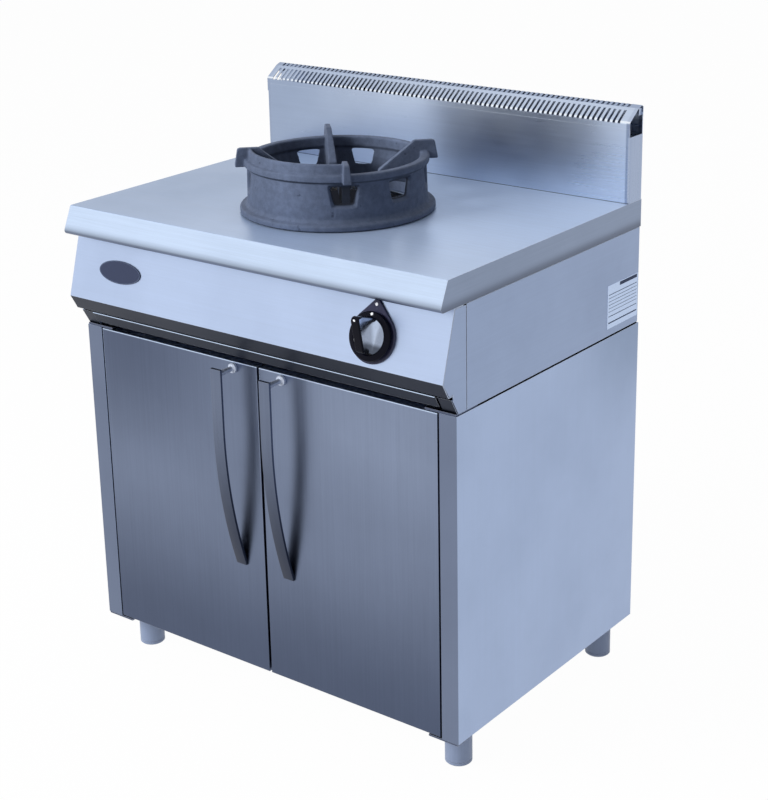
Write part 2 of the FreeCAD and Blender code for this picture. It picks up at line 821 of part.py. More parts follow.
def flue_front():
    """Upstand with folded side returns, closed to two thirds of its height."""
    new = body("flue_front", MODULE)
    plan = sketch_on(new, "XY_Plane", WORKTOP)
    path = [(-HALF, s.flue_rear), (-HALF, s.flue_front), (HALF, s.flue_front), (HALF, s.flue_rear)]
    add_fold(plan, path, s.sheet)
    pad(new, plan, s.flue_return)
    middle = WORKTOP + s.flue_return / 2
    wall = s.sheet
    round_edges(new, 5, (-HALF, s.flue_front, middle), (HALF, s.flue_front, middle))
    round_edges(new, 3.5, (wall - HALF, s.flue_front + wall, middle),
                (HALF - wall, s.flue_front + wall, middle))
    upper = sketch_on(new, "XZ_Plane", -s.flue_front - s.sheet)
    low = WORKTOP + s.flue_return
    add_rectangle(upper, 1.2 - HALF, low, HALF - 1.2, WORKTOP + s.flue_face)
    pad(new, upper, s.sheet)
    keep(new)


def grille_slots(cap, near, far, start):
    """One row of slots across the cap, cut straight down through it."""
    sketch = sketch_on(cap, "XY_Plane", WORKTOP + s.crest_high + 4)
    row = s.slot_pitch * (s.slot_count - 1)
    left = s.slot_shift - (row + s.slot_width) / 2
    add_rectangle(sketch, left, near, left + s.slot_width, far)
    first = pocket(cap, sketch, s.crest_high + 4 - start)
    row_of(cap, [first], int(s.slot_count.value), s.slot_pitch, -1)


def flue_grille():
    """Folded cap with two rows of slots; the long ones wrap over the front bend."""
    new = body("flue_grille", MODULE)
    sketch = sketch_on(new, "YZ_Plane", 1.2 - HALF)
    front, rear = s.flue_front, s.flue_rear + 2.5
    bend, crest = WORKTOP + s.bend_high, WORKTOP + s.crest_high
    path = [(front, WORKTOP + s.flue_face), (front, bend), (front + 28, crest - 4),
            (front + 39, crest), (rear, crest - 3), (rear, crest - 19)]
    wall = 1.0
    add_fold(sketch, path, -wall)
    pad(new, sketch, s.width - 2.4)
    round_edges(new, 6, (0, front, bend))
    round_edges(new, 6 - wall, (0, front + wall, bend - 0.52))
    round_edges(new, 1.5, (0, front + 28, crest - 4), (0, front + 39, crest), (0, rear, crest - 3))
    grille_slots(new, front - 1, front + 23, s.bend_high - 3)
    grille_slots(new, front + 28.5, front + 41, s.crest_high - 7)
    keep(new)


def flue_back():
    """Rear sheet of the duct, with a welded tab at each end that holds the cap."""
    new = body("flue_back", MODULE)
    face = sketch_on(new, "XZ_Plane", -s.flue_rear - s.sheet)
    high = WORKTOP + s.crest_high - 12
    add_rectangle(face, 1 - HALF, WORKTOP, HALF - 1, high)
    pad(new, face, s.sheet)
    tabs = sketch_on(new, "XZ_Plane", -s.flue_rear)
    for sign in SIDES.values():
        add_rectangle(tabs, (HALF - 8) * sign, high - 5, (HALF - 3) * sign, high + 7)
    pad(new, tabs, 9)
    keep(new)


# ---------------------------------------------------------------- wok ring

def wok_ring():
    """Cast ring, its front fin on the body's own X axis."""
    new = body("wok_ring", MODULE + WORKTOP + 0.3, 0, s.ring_depth, s.ring_turn, (0, 0, 1))
    foot, wall, bore, rim = s.ring_foot, s.ring_wall, s.ring_bore, s.ring_rim
    section = sketch_on(new, "XZ_Plane")
    add_outline(section, [
        (bore - 1, 0), (foot - 3, 0), (foot, 3, 3), (foot, 8), (foot - 4, 12, 4),
        (wall + 9.5, 12.5), (wall + 2, 20, -8), (wall - 1, s.rim_low - 2), (rim - 1.5, s.rim_low),
        (rim, s.rim_low + 1.5, 1.5), (rim, s.rim_high - 3), (rim - 3, s.rim_high, 3),
        (rim - 12, s.rim_high), (rim - 15, s.rim_high - 3, 3), (rim - 15, s.rim_low - 4),
        (bore, s.rim_low - 9.5)])
    revolve(new, section)
    mouth = sketch_on(new, "YZ_Plane", s.ring_wall + 2.5, s.window_lag)
    low, high = s.window_low, s.window_high
    add_outline(mouth, [(-17.8, low - 8.6), (17.8, low - 8.6), (27.8, high + 9.8),
                        (-27.8, high + 9.8)])
    throat = sketch_on(new, "YZ_Plane", s.ring_bore - 4.5, s.window_lag)
    add_outline(throat, [(-12, low + 3), (12, low + 3), (18, high - 3.5), (-18, high - 3.5)])
    made = feature(new, "SubtractiveLoft", mouth, -1)
    made[0].Sections = [throat]
    throat.Visibility = False
    polar(new, [settle(new, made)], 8, s.window_arc.value, -1)
    reach = s.fin_reach
    fin = sketch_on(new, "XZ_Plane")
    add_outline(fin, [
        (bore + 1.5, 32), (bore + 1.5, s.rim_low - 0.5), (reach, s.rim_low - 0.5),
        (reach - 3, s.fin_high - 4), (reach - 7, s.fin_high, 4), (132, s.fin_high),
        (74, 65), (70, 60, 6), (70, 54), (75, 49, 6)])
    one = pad(new, fin, s.fin_thick, both=True)
    polar(new, [one], 4, 360, 1)
    guard = sketch_on(new, "XZ_Plane")
    add_outline(guard, [(rim - 1.5, s.rim_high - 2), (rim - 4, s.fin_high - 2.2),
                        (rim - 10, s.fin_high - 2.2, 3.3), (rim - 12, s.rim_high - 2)])
    revolve(new, guard, angle=90.0, flip=True)
    keep(new)


# ---------------------------------------------------------------- burner and gas way

def burner():
    """Bowl, burner body, jet crown, cap and the strap that hangs them from the worktop."""
    centre = (MODULE, 0, s.ring_depth)
    bowl = body("burner_bowl", *centre)
    sketch = sketch_on(bowl, "XZ_Plane")
    under = WORKTOP - s.sheet
    add_fold(sketch, [(150, under), (s.hole_radius, under), (96, 150)], s.sheet)
    revolve(bowl, sketch)
    keep(bowl)

    cup = turned("burner_body", [(0, 78), (30, 78), (58, 110), (60, 150), (55, 150), (53, 112),
                                 (28, 83), (0, 83)], *centre)
    boss = sketch_on(cup, "XZ_Plane", 62)
    add_circle(boss, 0, TAP_Z, 20)
    add_circle(boss, 0, TAP_Z, 13)
    pad(cup, boss, 24, flip=True)
    way = sketch_on(cup, "XZ_Plane", 62)
    add_circle(way, 0, TAP_Z, 13)
    pocket(cup, way, 36)
    keep(cup)

    crown = turned("burner_crown", [(22, 150), (60, 150), (60, 158), (48, 172), (30, 172),
                                    (22, 160)], *centre)
    jet = sketch_on(crown, "YZ_Plane", 36)
    add_rectangle(jet, -1.5, 161, 1.5, 175)
    first = pocket(crown, jet, 30, flip=True)
    polar(crown, [first], 24, 360, -1)
    keep(crown)
    keep(turned("burner_cap", [(0, 172), (34, 172), (34, 175), (24, 181), (0, 181)], *centre))

    strap = body("burner_strap", *centre)
    sketch = sketch_on(strap, "XZ_Plane")
    add_fold(sketch, [(-176, under), (-158, under), (-158, 78), (158, 78), (158, under),
                      (176, under)], -2.5)
    pad(strap, sketch, 36, both=True)
    keep(strap)


def flame_parts():
    """Pilot burner and thermocouple, each a tube on a bracket that stands on the strap."""
    for name, sign, radius, high in (("pilot_burner", 1, 4.5, 158), ("thermocouple", -1, 3, 162)):
        new = body(name, MODULE, 0, s.ring_depth)
        bracket = sketch_on(new, "XZ_Plane")
        add_fold(bracket, [(82 * sign, 78), (64 * sign, 78), (64 * sign, 116), (76 * sign, 116)],
                 -2 * sign)
        pad(new, bracket, 14, both=True)
        tube = sketch_on(new, "XY_Plane", 108)
        add_circle(tube, 68 * sign, 0, radius)
        pad(new, tube, high - 108)
        keep(new)


def mixing_parts():
    """Venturi tube, air shutter and injector, turned about an axis that runs to the burner."""
    spot = {"level": MODULE + TAP_Z, "behind": s.ring_depth, "axis": "Y_Axis", "plane": "XY_Plane"}
    keep(turned("mixing_tube", [(13, -62), (20, -62), (20, -66), (15.5, -67), (13.5, -100),
                                (15, -122), (20, -140), (18, -140), (13, -121), (11.5, -100),
                                (13, -68)], **spot))
    keep(turned("air_shutter", [(6.2, -142), (22, -142), (22, -140), (6.2, -140)], **spot))
    keep(turned("injector", [(0, -165), (8, -165), (8, -150), (6, -149), (6, -141), (3.5, -136),
                             (0, -136)], **spot))


def gas_tap():
    new = knob_body("gas_tap")
    radius = s.spindle_radius + s.pin_clearance
    section = sketch_on(new, "XZ_Plane")
    add_outline(section, [(0, -70), (15, -70), (15, -8), (20, -8), (20, -s.sheet), (7.5, -s.sheet),
                          (7.5, -27), (radius, -27), (radius, -48), (0, -48)])
    revolve(new, section)
    for sign in SIDES.values():
        boss = sketch_on(new, "YZ_Plane", 24 * sign)
        add_circle(boss, 0, -s.tap_depth, 9)
        pad(new, boss, 14, flip=sign > 0)
    keep(new)


def pipe(label, start, spine, outer, bore):
    """Bent tube: its ring section swept along a flat spine of runs and bends."""
    new = body(label, MODULE)
    path = sketch_on(new, "XY_Plane", TAP_Z)
    add_outline(path, spine, closed=False)
    ring = sketch_on(new, "YZ_Plane", start)
    add_circle(ring, TAP_Y, TAP_Z, outer)
    add_circle(ring, TAP_Y, TAP_Z, bore)
    made = feature(new, "AdditivePipe", ring, 1)
    made[0].Spine = (path, [f"Edge{run + 1}" for run in range(len(spine) - 1)])
    settle(new, made)
    keep(new)


def gas_way():
    bend = 22
    left, right = s.knob_across - 24, s.knob_across + 24
    pipe("burner_pipe", left, [(left, TAP_Y), (bend, TAP_Y), (0, TAP_Y + bend, -bend),
                               (0, s.ring_depth - 165)], 6, 4)
    rear = 522
    pipe("gas_feed_pipe", right, [(right, TAP_Y), (s.inlet_across - bend, TAP_Y),
                                  (s.inlet_across, TAP_Y + bend, bend), (s.inlet_across, rear)],
         s.pipe_radius, s.pipe_radius - 2)
    radius, tip = s.inlet_radius, s.rear_reach
    keep(turned("gas_inlet", [(6, rear), (14, rear), (14, 540), (16, 540), (16, 547.5),
                              (radius, 547.5), (radius, tip - 1), (radius - 1, tip), (6, tip)],
                MODULE + TAP_Z, s.inlet_across, axis="Y_Axis", plane="XY_Plane"))


# ---------------------------------------------------------------- knob and badge

def knob_bezel():
    """Teardrop plate: a round with two straight sides that meet in a rounded tip."""
    new = knob_body("knob_bezel")
    big, small, rise = s.bezel_radius, s.bezel_tip_radius, s.bezel_tip
    slope = (big - small) / rise
    spread = root(1 - slope * slope)
    plate = sketch_on(new, "XY_Plane")
    add_outline(plate, [
        (big * spread, big * slope, big), (small * spread, rise + small * slope),
        (0, rise + small, small), (-small * spread, rise + small * slope, small),
        (-big * spread, big * slope), (0, -big, big)])
    add_circle(plate, 0, 0, s.spindle_radius + 5)
    pad(new, plate, s.bezel_thick)
    round_edges(new, 1.5, (0, -big, s.bezel_thick), (0, rise + small, s.bezel_thick),
                ((big + small) / 2 * spread, rise / 2 + (big + small) / 2 * slope, s.bezel_thick))
    keep(new)


def control_knob():
    """Low round skirt, a web, and an upright grip bar across it, bored for the spindle."""
    new = knob_body("control_knob")
    back, outer = s.knob_back, s.knob_radius
    bore = s.spindle_radius + s.pin_clearance
    section = sketch_on(new, "XZ_Plane")
    add_outline(section, [
        (bore, back), (outer - 1, back), (outer, back + 1), (outer - 0.4, back + 2.4),
        (outer - 2.5, back + 3.8, 3), (outer - 8.6, back + 4.6), (outer - 10, back + 3.6),
        (outer - 10, back + 2), (bore, back + 2)])
    revolve(new, section)
    grip = sketch_on(new, "YZ_Plane")
    add_outline(grip, [(-27, back + 1), (28, back + 1), (30.5, back + 38), (25, back + 44.5, 6),
                       (-22, back + 23), (-26, back + 17, 7)])
    pad(new, grip, 12, both=True)
    round_edges(new, 3.5, (6, 0, back + 33.06), (-6, 0, back + 33.06))
    socket = sketch_on(new, "XY_Plane", back)
    add_circle(socket, 0, 0, bore)
    pocket(new, socket, 14, flip=True)
    keep(new)


def knob_insert():
    """Bright dish in the knob, in two halves beside the grip."""
    blank = knob_body("knob_insert_blank")
    base = s.knob_back + 2
    edge = s.knob_radius - 10.2
    section = sketch_on(blank, "XZ_Plane")
    add_outline(section, [(0, base), (edge, base), (edge, base + 1.9), (0, base + 0.8, -378)])
    revolve(blank, section)
    slot = doc.addObject("Part::Box", "grip_slot")
    bind(slot, "Length", 12.4)
    bind(slot, "Width", 80)
    bind(slot, "Height", 30)
    behind, up = panel_point(s.knob_along - 40, s.knob_back)
    place(slot, MODULE + up, s.knob_across - 6.2, behind, 90 - s.panel_tilt, (1, 0, 0))
    cut("knob_insert", blank, slot)


def knob_spindle():
    for name, low, long, bore, radius in (
            ("knob_spindle", -42, 42 + s.knob_back + 13.5, None, s.spindle_radius),
            ("spindle_collar", -19, 3, s.spindle_radius + s.pin_clearance, as_size(7.2))):
        new = knob_body(name)
        sketch = sketch_on(new, "XY_Plane", low)
        add_circle(sketch, 0, 0, radius)
        if bore is not None:
            add_circle(sketch, 0, 0, bore)
        pad(new, sketch, long)
        keep(new)


def badge_plate():
    """Bare oval plate on the fascia."""
    oval = doc.addObject("Part::Ellipse", "badge_outline")
    bind(oval, "MajorRadius", s.badge_long)
    bind(oval, "MinorRadius", s.badge_short)
    behind, up = panel_point(s.badge_along)
    place(oval, MODULE + up, -s.badge_across, behind, 90 - s.panel_tilt, (1, 0, 0))
    plate = doc.addObject("Part::Extrusion", "badge_plate")
    plate.Base = oval
    plate.DirMode = "Normal"
    plate.LengthFwd = 1.6
    plate.Reversed = True
    plate.Solid = True
    keep(plate, "badge_plate")


def back_screws():
    """Heads of the screws that hold the rear panels."""
    heads = []
    rows = [(MODULE - s.cabinet_height + 60, 389, s.depth), (MODULE - 60, 389, s.depth),
            (MODULE + 45, 384, as_size(549)), (MODULE + 140, 384, as_size(549))]
    for row, (level, across, face) in enumerate(rows):
        for side, sign in SIDES.items():
            head = doc.addObject("Part::Cylinder", f"screw_{side}_{row}")
            bind(head, "Radius", 4)
            bind(head, "Height", 1.6)
            place(head, level, across * sign, face, -90, (1, 0, 0))
            heads.append(head)
    group("back_screws", heads)


# ---------------------------------------------------------------- assembly

def build():
    for side, sign in SIDES.items():
        cabinet_side(side, sign)
        module_side(side, sign)
    cabinet_floor()
    cabinet_back()
    cabinet_top_rail()
    hinge_brackets()
    magnetic_catches()
    foot_sockets()
    levelling_feet()
    doors()
    worktop()
    control_panel()
    cheeks()
    front_corners()
    module_back()
    module_base()
    tray_runners()
    spill_tray()
    flue_front()
    flue_grille()
    flue_back()
    wok_ring()
    burner()
    flame_parts()
    mixing_parts()
    gas_tap()
    gas_way()
    knob_bezel()
    control_knob()
    knob_insert()
    knob_spindle()
    badge_plate()
    back_screws()


def check():
    """Stop before anything is written if a feature or a finished shape has failed."""
    doc.recompute()
    for thing in doc.Objects:
        if {"Invalid", "Error"} & set(thing.State):
            raise RuntimeError(f"{thing.Label} is {thing.State}")
    for node in nodes:
        if node.Shape.isNull() or not node.Shape.isValid():
            raise RuntimeError(f"{node.Label} has no valid shape")


def write():
    os.makedirs("parts", exist_ok=True)
    for node in nodes:
        node.Shape.exportStep(f"parts/{node.Label}.step")


build()
check()
write()
whole = Part.Compound([node.Shape for node in nodes]).BoundBox
print(len(nodes), "nodes, size", [round(v, 2) for v in (whole.XLength, whole.YLength, whole.ZLength)])
print("from", [round(v, 2) for v in (whole.XMin, whole.YMin, whole.ZMin)])
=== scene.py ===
"""Wok range: the looks of a stainless steel wok range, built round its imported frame.

Every size is in metres. New pieces are surfaces worked out as whole arrays from a few named
sizes, and each finish is a node material.
"""

import json
import math
from functools import reduce

import bmesh
import bpy
import numpy as np
from bpy.props import FloatProperty, FloatVectorProperty, IntProperty, PointerProperty
from mathutils import Matrix, Vector


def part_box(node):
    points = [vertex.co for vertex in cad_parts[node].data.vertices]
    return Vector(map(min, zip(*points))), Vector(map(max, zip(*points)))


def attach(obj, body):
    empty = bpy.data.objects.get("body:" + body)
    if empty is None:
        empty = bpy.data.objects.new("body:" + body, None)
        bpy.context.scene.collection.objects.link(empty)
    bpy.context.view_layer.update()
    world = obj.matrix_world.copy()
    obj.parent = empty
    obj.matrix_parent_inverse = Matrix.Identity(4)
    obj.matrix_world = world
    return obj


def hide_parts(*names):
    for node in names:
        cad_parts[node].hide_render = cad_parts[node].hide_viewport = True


bl_info = {
    "name": "Wok Range",
    "version": (1, 0, 0),
    "blender": (4, 5, 0),
    "location": "View3D > Sidebar > Wok Range",
    "description": "Builds the visible pieces and finishes of a stainless steel wok range",
    "category": "Add Mesh",
}

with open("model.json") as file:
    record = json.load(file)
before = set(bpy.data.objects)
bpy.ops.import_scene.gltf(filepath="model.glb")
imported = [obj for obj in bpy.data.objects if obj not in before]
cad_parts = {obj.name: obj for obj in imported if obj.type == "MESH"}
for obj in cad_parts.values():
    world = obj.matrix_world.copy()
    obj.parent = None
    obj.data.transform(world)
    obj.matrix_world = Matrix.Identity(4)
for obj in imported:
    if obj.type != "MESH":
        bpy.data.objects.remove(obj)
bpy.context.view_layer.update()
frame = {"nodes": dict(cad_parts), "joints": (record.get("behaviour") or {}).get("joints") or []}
JOINTS = {joint["name"]: joint for joint in frame["joints"]}

DOOR_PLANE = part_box("left_door_pan")[0].y
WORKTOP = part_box("flue_front")[0].z
HALF_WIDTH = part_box("cabinet_right_side")[1].x
RING_LOW, RING_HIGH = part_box("wok_ring")
BADGE_LOW, BADGE_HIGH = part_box("badge_plate")
KNOB_CENTRE = Vector(JOINTS["knob_turn"]["pos_m"])
KNOB_AXIS = Vector(JOINTS["knob_turn"]["axis"]).normalized()
ACROSS = Vector((1.0, 0.0, 0.0))
UP = Vector((0.0, 0.0, 1.0))
FINISHES = {}


def linear(red, green, blue):
    """Linear colour, with an alpha of 1, from screen values of 0 to 255."""
    screen = np.array([red, green, blue]) / 255.0
    low = screen / 12.92
    high = ((screen + 0.055) / 1.055) ** 2.4
    return (*np.where(screen <= 0.04045, low, high).tolist(), 1.0)


# ---------------------------------------------------------------- sizes and colours

def length(text, default):
    """A length; its name is the text up to the colon, as in turn and tint."""
    return FloatProperty(name=text.split(":")[0], description=text, default=default,
                         unit="LENGTH", subtype="DISTANCE")


def turn(text, degrees):
    return FloatProperty(name=text.split(":")[0], description=text,
                         default=math.radians(degrees), unit="ROTATION", subtype="ANGLE")


def tint(text, red, green, blue):
    return FloatVectorProperty(name=text.split(":")[0], description=text, size=4, min=0.0,
                               max=1.0, default=linear(red, green, blue), subtype="COLOR")


class RingSizes(bpy.types.PropertyGroup):
    """Sizes of the cast wok ring, heights from the worktop."""

    foot: length("Foot: radius of the base flange", 0.166)
    wall: length("Wall: outer radius of the wall", 0.1525)
    bore: length("Bore: inner radius of the wall", 0.1435)
    rim: length("Rim: outer radius of the rim band", 0.1562)
    rim_low: length("Rim foot: lower edge of the rim band", 0.080)
    rim_high: length("Rim top: upper edge of the rim band", 0.0920)
    fin_reach: length("Fin reach: outer end of a fin", 0.172)
    fin_high: length("Fin top: height of a fin", 0.1105)
    fin_thick: length("Fin: thickness of a fin", 0.0125)
    window_low: length("Window foot: lower edge of a window", 0.044)
    window_high: length("Window top: upper edge of a window", 0.070)
    grain: length("Voxel: size of the cells that round the casting", 0.0012)
    facing: turn("Front fin: direction of the front fin", -45.5)
    window_lag: turn("Window lag: first window behind the front fin", -1.5)
    window_arc: turn("Window arc: from the first window to the last", 275.0)
    windows: IntProperty(name="Windows", description="Number of windows in the wall", default=8)


class KnobSizes(bpy.types.PropertyGroup):
    """Sizes of the knob and the plate behind it."""

    radius: length("Skirt: radius of the knob's skirt", 0.039)
    back: length("Back: underside of the skirt above the panel", 0.0085)
    grip: length("Grip: thickness of the grip", 0.0142)
    dish: length("Dish: radius of the bright insert", 0.0286)
    plate: length("Plate: radius of the round part of the plate", 0.043)
    tip: length("Tip: distance from the axis to the tip's centre", 0.053)
    tip_radius: length("Tip radius: rounding of the tip", 0.006)
    plate_thick: length("Plate thickness", 0.004)
    mark: length("Mark: radius of a white mark", 0.0024)


class HandleSizes(bpy.types.PropertyGroup):
    """Sizes of the bowed door handles."""

    width: length("Width: width of the bar", 0.022)
    thick: length("Thickness: thickness of the bar", 0.0055)
    bow: length("Bow: how far the bar stands out", 0.046)
    curve: length("Curve: radius of the bowed run", 0.885)
    straight: length("Straight: length of the upper run", 0.098)
    end: length("End: thickness of the blunt lower end", 0.0035)
    edge: length("Edge: rounding of the bar's edges", 0.0009)


class RangeColours(bpy.types.PropertyGroup):
    """Colours of the finishes, as they show in plain light."""

    fascia: tint("Fascia: control panel", 193, 210, 241)
    # The nose tone is also the painted highlight on door tops and edges, and on side tops near the
    # doors.
    nose: tint("Nose: front of the worktop", 208, 226, 252)
    worktop: tint("Worktop: brushed top", 184, 202, 230)
    worktop_dark: tint("Worktop, darker: its left part", 140, 160, 190)
    skirt: tint("Skirt: sides of the worktop", 142, 157, 182)
    side: tint("Sides: cabinet sides", 160, 177, 208)
    side_dark: tint("Sides, darker: upper rear of the cabinet sides", 136, 153, 182)
    module: tint("Module: sides of the burner module", 144, 160, 190)
    door_light: tint("Doors, lighter: where the sheen is full", 134, 146, 171)
    door_dark: tint("Doors, darker: where there is no sheen", 84, 94, 117)
    shadow: tint("Shadow: faces turned to the floor", 44, 50, 64)
    stile: tint("Stiles: front edges of the sides", 118, 129, 153)
    flue: tint("Flue: ends and back of the upstand", 156, 170, 196)
    splash: tint("Splash: front of the upstand, over the worktop", 222, 234, 252)
    splash_dark: tint("Splash, darker: its left part", 160, 175, 201)
    cap: tint("Cap: slopes over the flue", 152, 166, 192)
    hidden: tint("Inner sheet: parts inside", 92, 100, 122)
    handle_light: tint("Handles, upper part", 112, 122, 144)
    handle_dark: tint("Handles, lower part", 58, 64, 80)
    soot: tint("Burner well: sheet darkened by the flame", 46, 49, 58)
    foot: tint("Feet", 142, 156, 184)
    iron: tint("Casting: wok ring", 97, 108, 131)
    iron_dark: tint("Casting recesses", 36, 42, 58)
    black: tint("Knob: black plastic", 5, 6, 19)
    chrome: tint("Bright metal", 205, 214, 232)
    dish: tint("Knob's bright dish", 243, 248, 254)
    flank: tint("Knob's bright cheeks", 192, 202, 222)
    plate: tint("Plate behind the knob", 46, 47, 70)
    badge: tint("Badge: dark enamel", 44, 52, 76)
    badge_rim: tint("Badge rim", 104, 116, 144)
    brass: tint("Brass", 178, 148, 92)
    label: tint("Label: bare plate", 196, 212, 238)
    rule: tint("Label lines", 84, 96, 124)


class StageSettings(bpy.types.PropertyGroup):
    """Camera and light, fitted to the photograph."""

    camera: FloatVectorProperty(name="Camera", description="Place of the camera", size=3,
                                default=(1.8326, -2.0306 + DOOR_PLANE, 1.6218),
                                subtype="XYZ", unit="LENGTH")
    heading: turn("Heading: camera turned from +Y towards -X", 38.043)
    pitch: turn("Pitch: camera tilted from level", -18.27)
    roll: turn("Roll: camera rolled", -1.246)
    focal: FloatProperty(name="Focal length", description="Millimetres on a 36 mm long side",
                         default=79.26)
    shift_across: FloatProperty(name="Shift X", description="Lens shift across", default=0.0138)
    shift_up: FloatProperty(name="Shift Y", description="Lens shift up", default=-0.1009)
    floor_lift: FloatProperty(name="Floor lift", default=0.98, min=0.0, max=1.0,
                              description="Share of plain white in the floor that is seen")
    world: tint("World light", 108, 114, 127)


# ---------------------------------------------------------------- surfaces

def grid_faces(rows, columns, closed_rows=False, closed_columns=False):
    """Quads of a grid of rows by columns, wrapped round where it is closed."""
    down = np.arange(rows if closed_rows else rows - 1)
    across = np.arange(columns if closed_columns else columns - 1)
    i, j = (part.ravel() for part in np.meshgrid(down, across, indexing="ij"))
    below, beside = (i + 1) % rows, (j + 1) % columns
    corners = (i * columns + j, below * columns + j, below * columns + beside,
               i * columns + beside)
    return np.stack(corners, axis=-1)


def sheet_of(points, closed_rows=False, closed_columns=False):
    """A grid of points, rows by columns by 3, as vertices and quads."""
    rows, columns = points.shape[:2]
    return points.reshape(-1, 3), grid_faces(rows, columns, closed_rows, closed_columns)


def mesh_piece(name, parts, finish=None, smooth_angle=40.0):
    """One object from several (vertices, quads) parts: doubles merged, faces turned outwards."""
    vertices, faces, start = [], [], 0
    for points, quads in parts:
        vertices.append(points)
        faces.append(quads + start)
        start += len(points)
    mesh = bpy.data.meshes.new(name)
    mesh.from_pydata(np.concatenate(vertices).tolist(), [], np.concatenate(faces).tolist())
    shape = bmesh.new()
    shape.from_mesh(mesh)
    bmesh.ops.remove_doubles(shape, verts=shape.verts, dist=1e-6)
    bmesh.ops.dissolve_degenerate(shape, edges=shape.edges, dist=1e-7)
    bmesh.ops.recalc_face_normals(shape, faces=shape.faces)
    shape.to_mesh(mesh)
    shape.free()
    mesh.shade_smooth()
    mesh.set_sharp_from_angle(angle=math.radians(smooth_angle))
    piece = bpy.data.objects.new(name, mesh)
    bpy.context.scene.collection.objects.link(piece)
    if finish:
        wear(piece, FINISHES[finish])
    return piece


def circle_angles(count):
    """Equal steps round a full circle."""
    return np.linspace(0.0, 2.0 * np.pi, count, endpoint=False)


def rounded_outline(corners, radii, steps=6):
    """A closed outline with each corner replaced by an arc that touches both its sides."""
    corners = np.asarray(corners, float)
    runs = []
    for index, (corner, radius) in enumerate(zip(corners, radii)):
        back = corners[index - 1] - corner
        ahead = corners[(index + 1) % len(corners)] - corner
        back, ahead = back / np.linalg.norm(back), ahead / np.linalg.norm(ahead)
        half = np.arccos(np.clip(back @ ahead, -1.0, 1.0)) / 2.0
        if radius <= 0.0 or half > np.pi / 2 - 1e-4:
            runs.append(corner[None])
            continue
        bisector = (back + ahead) / np.linalg.norm(back + ahead)
        centre = corner + bisector * radius / np.sin(half)
        sweep = np.linspace(-(np.pi / 2 - half), np.pi / 2 - half, steps)
        side = np.array([-bisector[1], bisector[0]])
        side = side * np.sign(side @ ahead)
        runs.append(centre + radius * (-np.cos(sweep)[:, None] * bisector
                                       + np.sin(sweep)[:, None] * side))
    return np.concatenate(runs)


def fan(outline):
    """A flat cap: each side of the outline joined to its middle, as thin quads."""
    middle = outline.mean(axis=0, keepdims=True)
    shrunk = middle + (outline - middle) * 1e-7
    return sheet_of(np.stack([outline, shrunk]), closed_columns=True)


def capped(loops):
    """A tube through closed loops of equal count, with a fan over its first and its last."""
    points = np.asarray(loops, float)
    return [sheet_of(points, closed_columns=True), fan(points[0]), fan(points[-1])]


def turned(outline, count, start=0.0, sweep=2.0 * np.pi, closed=True):
    """Outline of (radius, height) swept about Z; a part turn is closed with two flat ends."""
    full = abs(sweep - 2.0 * np.pi) < 1e-9
    angles = start + (circle_angles(count) if full else np.linspace(0.0, sweep, count))
    radius, height = np.asarray(outline, float).T[..., None]
    swept = np.broadcast_arrays(radius * np.cos(angles), radius * np.sin(angles), height)
    points = np.stack(swept, axis=-1)
    parts = [sheet_of(points, closed_rows=closed, closed_columns=full)]
    if not full:
        parts += [fan(points[:, 0]), fan(points[:, -1])]
    return parts


def slab(low, high):
    """A plain block between two corners."""
    outline = [(low[0], low[1]), (high[0], low[1]), (high[0], high[1]), (low[0], high[1])]
    return capped([[(*corner, level) for corner in outline] for level in (low[2], high[2])])


def shell(front, rear):
    """Two grids of points, face to face, joined round their edges by a wall."""
    edges = [np.concatenate([face[0], face[1:, -1], face[-1, -2::-1], face[-2:0:-1, 0]])
             for face in (front, rear)]
    return [sheet_of(front), sheet_of(rear), sheet_of(np.stack(edges), closed_columns=True)]


def moved(parts, matrix):
    """The same parts carried by a 4 by 4 matrix."""
    carry = np.array(matrix, float)
    return [(points @ carry[:3, :3].T + carry[:3, 3], quads) for points, quads in parts]


def axes_matrix(across, up, out, origin):
    """The matrix whose columns are three axes and an origin."""
    matrix = Matrix.Identity(4)
    for column, vector in enumerate((across, up, out, origin)):
        for row in range(3):
            matrix[row][column] = vector[row]
    return matrix


def finish_with(piece, kind, **settings):
    """Add a modifier with these settings and apply it."""
    modifier = piece.modifiers.new(kind.title(), kind)
    for name, value in settings.items():
        setattr(modifier, name, value)
    bpy.context.view_layer.update()
    depsgraph = bpy.context.evaluated_depsgraph_get()
    made = bpy.data.meshes.new_from_object(piece.evaluated_get(depsgraph))
    piece.modifiers.clear()
    old, piece.data = piece.data, made
    bpy.data.meshes.remove(old)


def combine(piece, other, operation):
    """Cut the other piece out of this one, or join it on, and drop it."""
    finish_with(piece, "BOOLEAN", object=other, operation=operation, solver="EXACT")
    mesh = other.data
    bpy.data.objects.remove(other)
    bpy.data.meshes.remove(mesh)


def wear(piece, material):
    piece.data.materials.clear()
    piece.data.materials.append(material)


# ---------------------------------------------------------------- shader helpers

WHITE = (1.0, 1.0, 1.0, 1.0)


